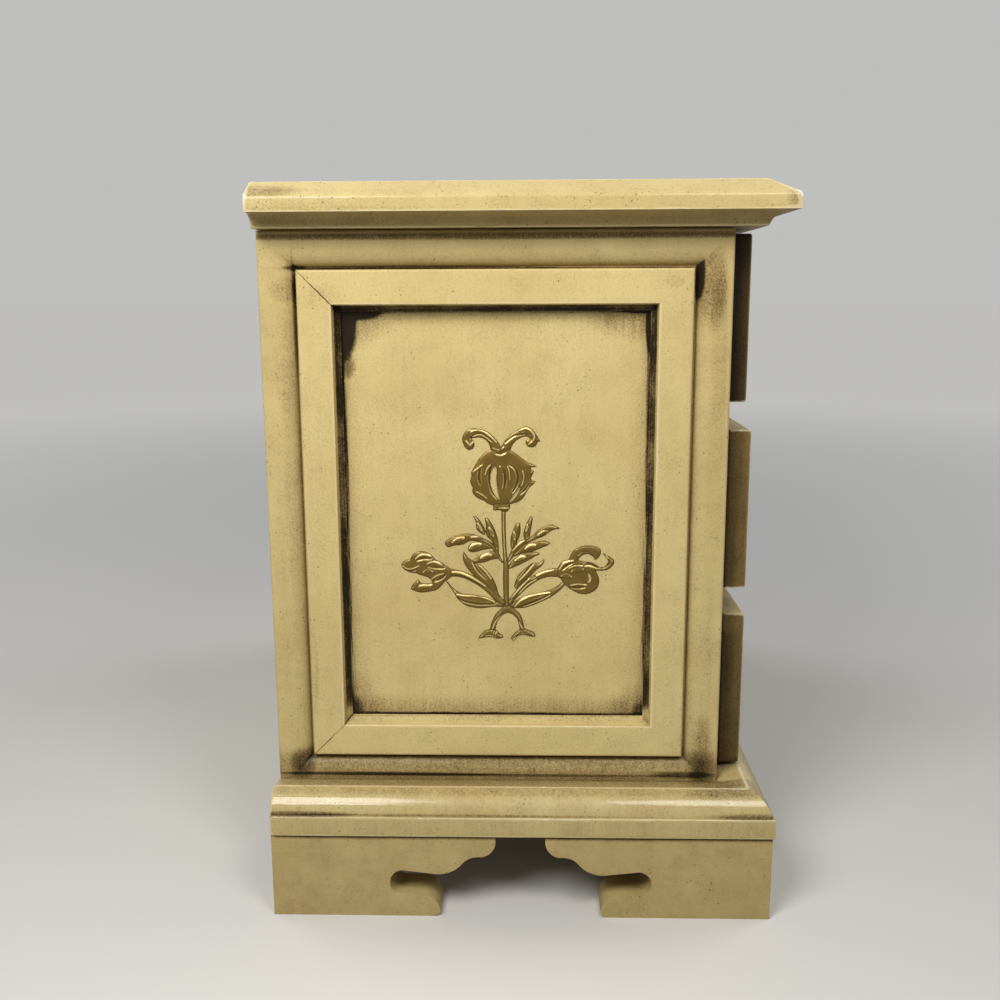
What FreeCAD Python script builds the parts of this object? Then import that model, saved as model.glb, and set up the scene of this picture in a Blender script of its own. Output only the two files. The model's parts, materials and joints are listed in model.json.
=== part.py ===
# Musical jewelry box: a small painted chest with a hinged lid, two drawers and a wind-up music movement.
# Millimetres. +Z is up, the front faces -Y, and the side with the left panel faces -X.
# The origin is on the floor, midway across the width, and midway between the knobs and the winding key.

import FreeCAD, Part
import math
import os
import re
import Sketcher
from FreeCAD import Placement, Rotation, Vector

doc = FreeCAD.newDocument("musical_jewelry_box")

# Driving dimensions, each written once
SIZES = {
    # case
    "case_width": 220.0,
    "case_depth": 121.2,
    "case_bottom": 30.8,
    "case_top": 182.1,
    "side_board": 6.0,
    "overlay": 4.5,
    "rim_width": 9.8,
    "rim_flat": 5.0,
    "rim_drop": 2.6,
    "rim_groove": 0.6,
    "arris": 0.7,
    "frame_face": 8.9,
    "frame_cove": 1.4,
    "frame_step": 0.8,
    "back_board": 6.0,
    "bottom_board": 6.0,
    "shelf_board": 9.0,
    "front_board": 8.0,
    # overlaid fronts
    "first_front": 35.9,
    "front_height": 43.4,
    "front_pitch": 50.85,
    "front_inset": 7.9,
    "fixed_front_thick": 5.8,
    "drawer_front_thick": 7.2,
    "front_round": 0.8,
    "front_gap": 0.3,
    # drawers
    "drawer_play": 0.4,
    "drawer_headroom": 3.5,
    "drawer_side": 5.0,
    "drawer_bottom": 2.5,
    "drawer_groove": 2.0,
    "groove_height": 2.0,
    "drawer_back_gap": 4.0,
    "lining": 1.0,
    # knobs
    "knob_spacing": 104.0,
    "knob_reach": 9.5,
    "knob_head": 5.6,
    "knob_neck": 2.4,
    "knob_foot": 4.0,
    "knob_foot_edge": 0.8,
    "knob_shank": 1.3,
    "knob_shank_length": 4.5,
    # base moulding
    "base_overhang": 13.5,
    "plinth_bottom": 23.4,
    "plinth_top": 29.0,
    "plinth_step": 0.7,
    "shoulder_in": 6.3,
    "shoulder_height": 6.0,
    "shoulder_round": 7.2,
    "moulding_fall": 1.1,
    "ledge": 14.0,
    # feet
    "foot_inset": 0.5,
    "foot_length": 60.4,
    "foot_thick": 11.0,
    "foot_corner": 1.6,
    "toe_length": 45.4,
    "toe_height": 6.3,
    "scroll_height": 7.1,
    "scroll_start": 35.3,
    "toe_crown_in": 4.4,
    "toe_crown_drop": 0.2,
    "toe_crown_round": 4.9,
    "throat_run": 8.0,
    "throat_drop": 0.9,
    "hollow_in": 8.6,
    "hollow_drop": 7.5,
    "hollow_round": 8.4,
    "lobe_in": 3.8,
    "lobe_drop": 6.0,
    "lobe_round": 6.0,
    "tip_drop": 2.0,
    "tip_round": 4.4,
    # lid
    "lid_gap": 0.2,
    "lid_board_bottom": 185.85,
    "lid_top": 193.6,
    "lid_side_overhang": 10.6,
    "lid_front_overhang": 13.7,
    "soffit": 2.4,
    "cove_run": 4.0,
    "cove_radius": 4.6,
    "fascia_height": 3.9,
    "bevel_run": 7.2,
    "fascia_round": 1.5,
    "lid_lining": 1.5,
    "mirror_length": 156.0,
    "mirror_height": 78.0,
    "mirror_thick": 2.0,
    # hinges
    "hinge_spacing": 130.0,
    "hinge_length": 28.0,
    "hinge_leaf": 1.0,
    "hinge_leaf_depth": 6.0,
    "knuckle": 1.7,
    "knuckle_gap": 0.15,
    "knuckle_clear": 0.3,
    "pin_radius": 0.8,
    "pin_play": 0.05,
    "stop_reach": 3.2,
    "stop_angle": 25.0,
    "lid_opening": 100.0,
    "stop_spare": 1.5,
    "screw_radius": 0.8,
    "screw_head": 1.6,
    "screw_length": 5.0,
    "screw_spacing": 18.0,
    "screw_play": 0.05,
    # compartment under the lid
    "tray_lining": 1.2,
    "tray_lining_drop": 5.0,
    "divider": 2.4,
    "divider_height": 26.0,
    "ring_bay": 68.0,
    "second_bay": 62.0,
    "back_bay": 70.0,
    "roll_gap": 0.35,
    "roll_margin": 1.1,
    "roll_count": 6,
    "roll_lift": 9.0,
    # movement cover
    "cover_length": 63.3,
    "cover_depth": 30.0,
    "cover_wall": 1.5,
    "cover_top": 179.6,
    "slot_width": 3.0,
    "slot_length": 7.0,
    # movement bedplate
    "bed_thick": 1.8,
    "bed_length": 58.0,
    "bed_left": 13.5,
    "bed_above": 16.0,
    "bed_below": 19.5,
    "bed_corner": 3.0,
    "arbor_across": 52.0,
    "arbor_height": 160.6,
    "arbor_radius": 1.6,
    "bore_play": 0.05,
    "barrel_radius": 10.5,
    "barrel_height": 6.0,
    "barrel_wall": 0.6,
    "barrel_gap": 0.4,
    # mainspring
    "spring_thick": 0.3,
    "spring_height": 5.0,
    "spring_inner": 1.7,
    "spring_half_turns": 12,
    # drive wheel
    "drive_teeth": 40,
    "drive_disc": 1.2,
    "drive_radius": 10.5,
    "drive_face": 2.2,
    "drive_tooth_height": 1.5,
    "drive_tooth_width": 0.5,
    "mesh_depth": 0.9,
    # cylinder
    "pinion_teeth": 20,
    "pinion_addendum": 0.6,
    "pinion_tooth_height": 1.4,
    "pinion_tooth_root": 0.6,
    "pinion_tooth_tip": 0.36,
    "pinion_width": 2.0,
    "post_place": 11.2,
    "post_thick": 1.2,
    "post_width": 6.0,
    "post_above": 3.0,
    "cylinder_gap": 0.8,
    "cylinder_length": 20.0,
    "cylinder_radius": 6.4,
    "cylinder_wall": 0.8,
    "pin_height": 0.7,
    "pin_wire": 0.22,
    "pins_per_track": 2,
    "spindle_radius": 0.8,
    "spur_teeth": 40,
    "spur_pitch": 6.0,
    "spur_thick": 1.0,
    "fine_addendum": 0.3,
    "fine_tooth_height": 0.8,
    "fine_tooth_root": 0.4,
    "fine_tooth_tip": 0.22,
    # comb
    "comb_teeth": 18,
    "comb_pitch": 1.0,
    "comb_slot": 0.25,
    "comb_thick": 0.9,
    "comb_gap": 0.3,
    "comb_tooth_length": 6.6,
    "comb_heel": 4.6,
    # governor
    "governor_teeth": 10,
    "governor_spindle": 0.5,
    "worm_wheel_teeth": 20,
    "worm_wheel_pitch": 3.0,
    "worm_wheel_thick": 1.2,
    "worm_core": 0.7,
    "worm_thread": 0.35,
    "worm_root_width": 0.36,
    "worm_tip_width": 0.2,
    "worm_turns": 4,
    "worm_gap": 0.1,
    "pivot_radius": 0.35,
    "cheek_thick": 0.9,
    "cheek_half": 1.8,
    "frame_gap": 0.4,
    "worm_place_in": 2.1,
    "fan_radius": 3.6,
    "fan_height": 3.2,
    "fan_thick": 0.4,
    "fan_clear": 0.65,
    "fan_side_gap": 0.25,
    "fan_end_gap": 0.5,
    # stop lever
    "lever_thick": 0.8,
    "lever_width": 1.2,
    "lever_boss": 1.5,
    "lever_pin": 0.6,
    "lever_side_gap": 0.2,
    "lever_place": 6.2,
    "lever_reach": 14.6,
    "lever_clear": 0.35,
    "lever_fan_gap": 0.3,
    # winding key
    "key_reach": 15.0,
    "key_hub": 3.2,
    "key_stand_off": 1.0,
    "key_wing": 5.6,
    "key_wing_place": 6.2,
    "key_wing_thick": 2.0,
    "key_wing_hole": 2.6,
    "key_hole": 4.0,
    "key_bore_depth": 8.0,
    # fastening of the movement
    "mount_screw": 1.2,
    "mount_head": 2.4,
    "mount_head_thick": 1.2,
    "comb_screw": 0.8,
    "comb_screw_head": 1.5,
    "comb_screw_head_thick": 0.8,
    "comb_screw_depth": 4.0,
    # ornament
    "ornament_up": 102.3,
    "ornament_along": 62.4,
    "ornament_scale": 1.0,
    "ornament_rise": 0.7,
}

sheet = doc.addObject("Spreadsheet::Sheet", "Sizes")
for row, (alias, number) in enumerate(SIZES.items(), start=1):
    sheet.set(f"A{row}", alias)
    sheet.set(f"B{row}", repr(number))
    sheet.setAlias(f"B{row}", alias)

# Places worked out from the driving dimensions, kept as bound properties of the document
places = doc.addObject("App::VarSet", "Places")
place_names = []
numbers = dict(SIZES)
pieces = []


def bound(text):
    """Put the owner in front of every named size and place in an expression."""

    def owner(match):
        word = match.group(0)
        if word in SIZES:
            return "Sizes." + word
        if word in place_names:
            return "Places." + word
        return word

    return re.sub(r"[a-z][a-z_0-9]*", owner, str(text))


def number_of(text):
    """The present value of an expression, from the same named sizes and places."""

    def figure(match):
        word = match.group(0)
        return f"({numbers[word]!r})" if word in numbers else word

    return FreeCAD.Units.Quantity(re.sub(r"[a-z][a-z_0-9]*", figure, str(text))).Value


def place(name, text):
    places.addProperty("App::PropertyFloat", name)
    places.setExpression(name, bound(text))
    numbers[name] = number_of(text)
    place_names.append(name)


def bind_base(item, x, y, z):
    for axis, text in (("x", x), ("y", y), ("z", z)):
        item.setExpression(".Placement.Base." + axis, bound(text))


def box(name, x, y, z, length, width, height):
    """A block from its lowest corner."""
    item = doc.addObject("Part::Box", name)
    for prop, text in (("Length", length), ("Width", width), ("Height", height)):
        item.setExpression(prop, bound(text))
    bind_base(item, x, y, z)
    return item


def rod(name, radius, length, x, y, z, direction):
    """A round bar that starts at a point and runs along a direction."""
    item = doc.addObject("Part::Cylinder", name)
    item.setExpression("Radius", bound(radius))
    item.setExpression("Height", bound(length))
    item.Placement = Placement(Vector(), Rotation(Vector(0, 0, 1), Vector(*direction)))
    bind_base(item, x, y, z)
    return item


def cone(name, start, finish, length, x, y, z, direction):
    item = doc.addObject("Part::Cone", name)
    for prop, text in (("Radius1", start), ("Radius2", finish), ("Height", length)):
        item.setExpression(prop, bound(text))
    item.Placement = Placement(Vector(), Rotation(Vector(0, 0, 1), Vector(*direction)))
    bind_base(item, x, y, z)
    return item


def fuse(name, items):
    item = doc.addObject("Part::MultiFuse", name)
    item.Shapes = items
    item.Refine = True
    return item


def cut(name, base, tools):
    item = doc.addObject("Part::Cut", name)
    item.Base = base
    item.Tool = tools[0] if len(tools) == 1 else fuse(name + "_tools", tools)
    item.Refine = True
    return item


def group(name, items):
    """Separate solids that share one node."""
    item = doc.addObject("Part::Compound", name)
    item.Links = items
    return item


def mirror(name, source):
    """The same piece on the other side of the middle plane."""
    item = doc.addObject("Part::Mirroring", name)
    item.Source = source
    item.Normal = Vector(1, 0, 0)
    item.Base = Vector(0, 0, 0)
    return item


def piece(label, item):
    item.Label = label
    pieces.append(item)
    return item


def origin_plane(body, role):
    return next(plane for plane in body.Origin.OriginFeatures if plane.Role == role)


def outline(body, plane_role, steps, name="outline"):
    """A closed, fully bound sketch. A step is (x, y) for a line to that corner, or (x, y, radius, side)
    for an arc to it, with side 1 where the arc bulges to the right of its run and -1 to the left.
    An arc without a radius is a half turn about a point on the X axis."""
    sketch = body.newObject("Sketcher::SketchObject", name)
    sketch.AttachmentSupport = [(origin_plane(body, plane_role), "")]
    sketch.MapMode = "FlatFace"
    corners = [Vector(number_of(step[0]), number_of(step[1]), 0) for step in steps]
    begins = []
    ends = []
    for index, step in enumerate(steps):
        start = corners[index - 1]
        finish = corners[index]
        if len(step) == 2:
            sketch.addGeometry(Part.LineSegment(start, finish), False)
            begins.append(1)
            ends.append(2)
            continue
        run = finish - start
        radius = number_of(step[2]) if step[2] else run.Length / 2
        across = Vector(run.y, -run.x, 0).normalize() * step[3]
        rise = radius - math.sqrt(max(radius * radius - run.Length * run.Length / 4, 0.0))
        sketch.addGeometry(Part.Arc(start, (start + finish) * 0.5 + across * rise, finish), False)
        forward = (sketch.getPoint(index, 1) - start).Length < 1e-6
        begins.append(1 if forward else 2)
        ends.append(2 if forward else 1)
    for index, step in enumerate(steps):
        after = (index + 1) % len(steps)
        sketch.addConstraint(Sketcher.Constraint("Coincident", index, ends[index], after, begins[after]))
        for kind, coordinate, text in (("DistanceX", corners[index].x, step[0]),
                                       ("DistanceY", corners[index].y, step[1])):
            number = sketch.addConstraint(
                Sketcher.Constraint(kind, -1, 1, index, ends[index], coordinate))
            sketch.setExpression(f"Constraints[{number}]", bound(text))
        if len(step) == 4 and step[2]:
            number = sketch.addConstraint(Sketcher.Constraint("Radius", index, number_of(step[2])))
            sketch.setExpression(f"Constraints[{number}]", bound(step[2]))
        elif len(step) == 4:
            sketch.addConstraint(Sketcher.Constraint("PointOnObject", index, 3, -1))
    return sketch


def ring(body, plane_role, radius, name="ring"):
    sketch = body.newObject("Sketcher::SketchObject", name)
    sketch.AttachmentSupport = [(origin_plane(body, plane_role), "")]
    sketch.MapMode = "FlatFace"
    value = number_of(radius)
    sketch.addGeometry(Part.Circle(Vector(), Vector(0, 0, 1), value), False)
    sketch.addConstraint(Sketcher.Constraint("Coincident", 0, 3, -1, 1))
    number = sketch.addConstraint(Sketcher.Constraint("Radius", 0, value))
    sketch.setExpression(f"Constraints[{number}]", bound(radius))
    return sketch


def pad(body, sketch, length, name="pad"):
    feature = body.newObject("PartDesign::Pad", name)
    feature.Profile = sketch
    feature.setExpression("Length", bound(length))
    return feature


def through_pocket(body, sketch, name="pocket"):
    feature = body.newObject("PartDesign::Pocket", name)
    feature.Profile = sketch
    feature.Type = 1
    feature.Midplane = True
    return feature


def revolve(body, sketch, name="turned"):
    feature = body.newObject("PartDesign::Revolution", name)
    feature.Profile = sketch
    feature.ReferenceAxis = (sketch, ["V_Axis"])
    feature.Angle = 360
    return feature


def turned_to(x_axis, y_axis):
    """The rotation that lays a piece's own X and Y along two directions."""
    first = Vector(*x_axis)
    second = Vector(*y_axis)
    return Rotation(first, second, first.cross(second), "XYZ")


def new_body(name, x_axis, y_axis, x, y, z):
    body = doc.addObject("PartDesign::Body", name)
    body.Placement = Placement(Vector(), turned_to(x_axis, y_axis))
    bind_base(body, x, y, z)
    return body


LEFT = (-1, 0, 0)
RIGHT = (1, 0, 0)
FRONT = (0, -1, 0)
BACK = (0, 1, 0)
UP = (0, 0, 1)
DOWN = (0, 0, -1)


def mitred_strip(name, steps, width, length, mitres, x_axis, y_axis, corner):
    """A moulded strip. Its outline's x runs inwards from the long edge and its y out of the face; it is
    padded along the long edge and cut at 45 degrees at the ends that mitres names."""
    body = new_body(name, x_axis, y_axis, *corner)
    pad(body, outline(body, "XY_Plane", steps), length)
    spare = 1.0
    if "start" in mitres:
        waste = outline(body, "XZ_Plane", [
            (-spare, -spare), (f"{width} + {spare}", f"{width} + {spare}"), (f"{width} + {spare}", -spare),
        ], "start_waste")
        through_pocket(body, waste, "start_mitre")
    if "end" in mitres:
        waste = outline(body, "XZ_Plane", [
            (-spare, f"{length} + {spare}"),
            (f"{width} + {spare}", f"{length} - {width} - {spare}"),
            (f"{width} + {spare}", f"{length} + {spare}"),
        ], "end_waste")
        through_pocket(body, waste, "end_mitre")
    return body


# Places that several pieces share
place("half_width", "case_width / 2")
place("side_thick", "side_board + overlay")
place("half_inside", "half_width - side_thick")
place("front_reach", "case_depth + front_gap + drawer_front_thick + knob_reach")
place("y_back", "(front_reach - key_reach) / 2")
place("y_front", "y_back - case_depth")
place("y_back_inside", "y_back - back_board")
place("y_front_inside", "y_front + front_board")
place("bottom_top", "case_bottom + bottom_board")
place("gap_between", "front_pitch - front_height")
place("lower_shelf_low", "first_front + front_height + gap_between / 2 - shelf_board / 2")
place("lower_shelf_top", "lower_shelf_low + shelf_board")
place("upper_shelf_low", "lower_shelf_low + front_pitch")
place("upper_shelf_top", "upper_shelf_low + shelf_board")
place("lid_bottom", "case_top + lid_gap")
place("front_half", "half_width - front_inset")


# Places of the screws that hold the movement, across and up from its winding arbor
MOUNT_SCREWS = (
    ("(-bed_left + bed_corner)", "(bed_above - bed_corner)"),
    ("(-bed_left + bed_corner)", "(-bed_below + bed_corner)"),
    ("(bed_length - bed_left - bed_corner)", "(-bed_below + bed_corner)"),
)


def add_side():
    """One side: a board, the mitred rim and the mitred raised frame on its face, and the same mirrored."""
    board = box("side_board_left", "-half_width + overlay", "y_front", "case_bottom",
                "side_board", "case_depth", "case_top - case_bottom")
    piece("side_board_left", board)
    piece("side_board_right", mirror("side_board_right", board))

    rim = [
        ("0", "0"), ("0", "overlay - arris"), ("arris", "overlay", "arris", -1), ("rim_flat", "overlay"),
        ("rim_width - rim_groove", "overlay - rim_drop",
         "((rim_width - rim_groove - rim_flat)^2 + rim_drop^2) / 2 / rim_drop", -1),
        ("rim_width", "overlay - rim_drop"), ("rim_width", "0"),
    ]
    frame_width = "(frame_face + frame_cove)"
    frame = [
        ("0", "0"), ("0", "overlay - arris"), ("arris", "overlay", "arris", -1), ("frame_face", "overlay"),
        ("frame_face", "overlay - frame_step"),
        (frame_width, "frame_step",
         "((frame_cove)^2 + (overlay - 2 * frame_step)^2) / 2 / frame_cove", 1),
        (frame_width, "0"),
    ]
    height = "case_top - case_bottom"
    for label, steps, width, inset in (("side_rim_left", rim, "rim_width", "0"),
                                       ("side_frame_left", frame, frame_width, "rim_width")):
        face = "-half_width + overlay"
        back = f"y_back - {inset}"
        front = f"y_front + {inset}"
        low = f"case_bottom + {inset}"
        high = f"case_top - {inset}"
        tall = f"({height} - 2 * {inset})"
        long = f"(case_depth - 2 * {inset})"
        ends = ("start", "end")
        strips = [
            mitred_strip(label + "_rear", steps, width, tall, ends, FRONT, LEFT, (face, back, high)),
            mitred_strip(label + "_bottom", steps, width, long, ends, UP, LEFT, (face, back, low)),
            mitred_strip(label + "_front", steps, width, tall, ends, BACK, LEFT, (face, front, low)),
            mitred_strip(label + "_top", steps, width, long, ends, DOWN, LEFT, (face, front, high)),
        ]
        left = piece(label, group(label, strips))
        other = label.replace("left", "right")
        piece(other, mirror(other, left))


def add_carcass():
    """Boards between the two sides, and the fixed front of the upper compartment."""
    inside = "2 * half_inside"
    piece("bottom_board", box("bottom_board", "-half_inside", "y_front", "case_bottom",
                              inside, "case_depth - back_board", "bottom_board"))
    for label, low in (("lower_shelf", "lower_shelf_low"), ("upper_shelf", "upper_shelf_low")):
        piece(label, box(label, "-half_inside", "y_front", low,
                         inside, "case_depth - back_board", "shelf_board"))
    piece("front_wall", box("front_wall", "-half_inside", "y_front", "upper_shelf_top",
                            inside, "front_board", "case_top - upper_shelf_top"))

    board = box("back_blank", "-half_inside", "y_back_inside", "case_bottom",
                inside, "back_board", "case_top - case_bottom")
    holes = [rod("key_hole_tool", "key_hole", "back_board + 2", "arbor_across", "y_back_inside - 1",
                 "arbor_height", BACK)]
    for index, (across, up) in enumerate(MOUNT_SCREWS):
        holes.append(rod(f"mount_hole_{index}", "mount_screw + screw_play", "back_board + 2",
                         f"arbor_across + {across}", "y_back_inside - 1", f"arbor_height + {up}", BACK))
    for hand in (-1, 1):
        holes.append(box(f"case_mortise_{hand}", f"{hand} * hinge_spacing / 2 - hinge_length / 2",
                         "y_back - hinge_leaf_depth", "case_top - hinge_leaf",
                         "hinge_length", "hinge_leaf_depth + 1", "hinge_leaf + 1"))
        for end in (-1, 1):
            holes.append(rod(f"case_pilot_{hand}_{end}", "screw_radius + screw_play",
                             "hinge_leaf + screw_length + 1",
                             f"{hand} * hinge_spacing / 2 + {end} * screw_spacing / 2",
                             "y_back - hinge_leaf_depth / 2", "case_top + 1", DOWN))
    piece("back_board", cut("back_board", board, holes))


def rounded_front(name, y, thick, low):
    """An overlaid front with its outer edges eased."""
    slab = box(name + "_slab", "-front_half", y, low, "2 * front_half", thick, "front_height")
    return ease(name, slab, "front_round", lambda edge, block: edge.CenterOfMass.y < block.YMin + 0.01)


def ease(name, base, radius, chosen):
    """Round the edges that the test picks."""
    doc.recompute()
    block = base.Shape.BoundBox
    value = number_of(radius)
    item = doc.addObject("Part::Fillet", name)
    item.Base = base
    item.Edges = [(number, value, value) for number, edge in enumerate(base.Shape.Edges, start=1)
                  if chosen(edge, block)]
    return item


def knob_tools(name, y, thick, height):
    return [rod(f"{name}_knob_hole_{hand}", "knob_shank + screw_play", f"{thick} + 2",
                f"{hand} * knob_spacing / 2", f"{y} - 1", height, BACK) for hand in (-1, 1)]


def add_knobs(label, y, height):
    """Two turned knobs whose shanks go into the front."""
    rim = "(knob_head * 0.96)"
    rim_up = "(knob_reach * 0.82)"
    cap = "(knob_reach - knob_reach * 0.82)"
    steps = [
        ("0", "-knob_shank_length"), ("knob_shank", "-knob_shank_length"), ("knob_shank", "0"),
        ("knob_foot", "0"), ("knob_foot", "knob_foot_edge"),
        ("knob_neck", "knob_reach * 0.42", "knob_reach * 0.5", -1),
        ("knob_head", "knob_reach * 0.66", "knob_reach * 0.42", 1),
        (rim, rim_up, "knob_reach * 0.2", 1),
        # The domed end is part of a ball whose middle is on the knob's own axis
        ("0", "knob_reach", f"({rim}^2 + {cap}^2) / (2 * {cap})", 1),
    ]
    knobs = []
    for hand in (-1, 1):
        body = new_body(f"{label}_{hand}", RIGHT, FRONT, f"{hand} * knob_spacing / 2", y, height)
        revolve(body, outline(body, "XY_Plane", steps))
        knobs.append(body)
    piece(label, group(label, knobs))


def add_fixed_front():
    low = "(first_front + 2 * front_pitch)"
    y = "(y_front - fixed_front_thick)"
    middle = f"({low} + front_height / 2)"
    slab = rounded_front("fixed_front_eased", y, "fixed_front_thick", low)
    piece("fixed_front", cut("fixed_front", slab, knob_tools("fixed_front", y, "fixed_front_thick", middle)))
    add_knobs("fixed_front_knobs", y, middle)


def add_drawer(label, number, floor):
    """A drawer: overlaid front, two grooved sides, back, bottom, lining and knobs."""
    low = f"(first_front + {number} * front_pitch)"
    y = "(y_front - front_gap - drawer_front_thick)"
    middle = f"({low} + front_height / 2)"
    slab = rounded_front(f"{label}_front_eased", y, "drawer_front_thick", low)
    piece(f"{label}_front", cut(f"{label}_front", slab,
                                knob_tools(label, y, "drawer_front_thick", middle)))
    add_knobs(f"{label}_knobs", y, middle)

    back_of_front = "(y_front - front_gap)"
    base = f"({floor} + drawer_play)"
    height = "(front_pitch - shelf_board - drawer_play - drawer_headroom)"
    reach = "(case_depth + front_gap - back_board - drawer_back_gap)"
    outer = "(half_inside - drawer_play)"
    panel_low = f"({base} + groove_height)"
    sides = []
    for hand in (-1, 1):
        x = f"-{outer}" if hand < 0 else f"{outer} - drawer_side"
        blank = box(f"{label}_side_blank_{hand}", x, back_of_front, base, "drawer_side", reach, height)
        groove_x = f"-{outer} + drawer_side - drawer_groove" if hand < 0 else f"{outer} - drawer_side"
        groove = box(f"{label}_groove_{hand}", groove_x, f"{back_of_front} - 1", panel_low,
                     "drawer_groove", f"{reach} + 2", "drawer_bottom")
        sides.append(cut(f"{label}_side_{hand}", blank, [groove]))
    piece(f"{label}_sides", group(f"{label}_sides", sides))
    between = f"2 * ({outer} - drawer_side)"
    piece(f"{label}_back", box(f"{label}_back", f"-{outer} + drawer_side",
                               f"{back_of_front} + {reach} - drawer_side", f"{panel_low} + drawer_bottom",
                               between, "drawer_side", f"{height} - groove_height - drawer_bottom"))
    piece(f"{label}_bottom", box(f"{label}_bottom", f"-{outer} + drawer_side - drawer_groove",
                                 back_of_front, panel_low, f"{between} + 2 * drawer_groove",
                                 reach, "drawer_bottom"))
    piece(f"{label}_lining", box(f"{label}_lining", f"-{outer} + drawer_side", back_of_front,
                                 f"{panel_low} + drawer_bottom", between,
                                 f"{reach} - drawer_side", "lining"))


def add_base():
    """Base moulding: a plinth band with a rounded top, rebated under the case, mitred at the front."""
    width = "(base_overhang + ledge)"
    steps = [
        ("0", "0"), ("0", "plinth_top - plinth_bottom"), ("plinth_step", "plinth_top - plinth_bottom"),
        ("shoulder_in", "plinth_top - plinth_bottom + shoulder_height", "shoulder_round", -1),
        ("base_overhang", "plinth_top - plinth_bottom + shoulder_height - moulding_fall"),
        ("base_overhang", "case_bottom - plinth_bottom"), (width, "case_bottom - plinth_bottom"),
        (width, "0"),
    ]
    side_length = "(case_depth + base_overhang)"
    left = mitred_strip("base_left", steps, width, side_length, ("end",), RIGHT, UP,
                        ("-half_width - base_overhang", "y_back", "plinth_bottom"))
    front = mitred_strip("base_front", steps, width, "(case_width + 2 * base_overhang)", ("start", "end"),
                         BACK, UP, ("-half_width - base_overhang", "y_front - base_overhang",
                                    "plinth_bottom"))
    rear = box("base_rear", "-half_width + ledge", "y_back - ledge", "plinth_bottom",
               "case_width - 2 * ledge", "ledge", "case_bottom - plinth_bottom")
    piece("base_moulding", group("base_moulding", [left, mirror("base_right", left), front, rear]))


def bracket(name, x_axis, corner, mitred):
    """A scrolled foot bracket. x runs from the outer corner along the foot, y is up."""
    body = new_body(name, x_axis, UP, *corner)
    throat = "(toe_height + scroll_height)"
    steps = [
        ("0", "0"),
        ("toe_length - foot_corner", "0"),
        ("toe_length", "foot_corner", "foot_corner", 1),
        ("toe_length - toe_crown_in", "toe_height - toe_crown_drop", "toe_crown_round", 1),
        ("scroll_start", "toe_height"),
        ("scroll_start", throat, "scroll_height / 2 + 0.001", -1),
        ("scroll_start + throat_run", f"{throat} - throat_drop"),
        ("foot_length - hollow_in", "plinth_bottom - hollow_drop", "hollow_round", 1),
        ("foot_length - lobe_in", "plinth_bottom - lobe_drop", "lobe_round", -1),
        ("foot_length", "plinth_bottom - tip_drop", "tip_round", 1),
        ("foot_length", "plinth_bottom"),
        ("0", "plinth_bottom"),
    ]
    pad(body, outline(body, "XY_Plane", steps), "foot_thick")
    if mitred:
        spare = 1.0
        waste = outline(body, "XZ_Plane", [
            (-spare, -spare), (-spare, f"foot_thick + {spare}"),
            (f"foot_thick + {spare}", f"foot_thick + {spare}"),
        ], "waste")
        through_pocket(body, waste, "mitre")
    return body


def add_feet():
    out = "(base_overhang - foot_inset)"
    side = bracket("front_left_side_bracket", BACK, (f"-half_width - {out}", f"y_front - {out}", "0"), True)
    face = bracket("front_right_face_bracket", LEFT, (f"half_width + {out}", f"y_front - {out}", "0"), True)
    left = piece("foot_front_left", group("foot_front_left", [side, mirror("front_left_face", face)]))
    piece("foot_front_right", mirror("foot_front_right", left))
    rear = bracket("rear_right_bracket", FRONT, (f"half_width + {out}", "y_back", "0"), False)
    piece("foot_rear_right", rear)
    piece("foot_rear_left", mirror("foot_rear_left", rear))


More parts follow.
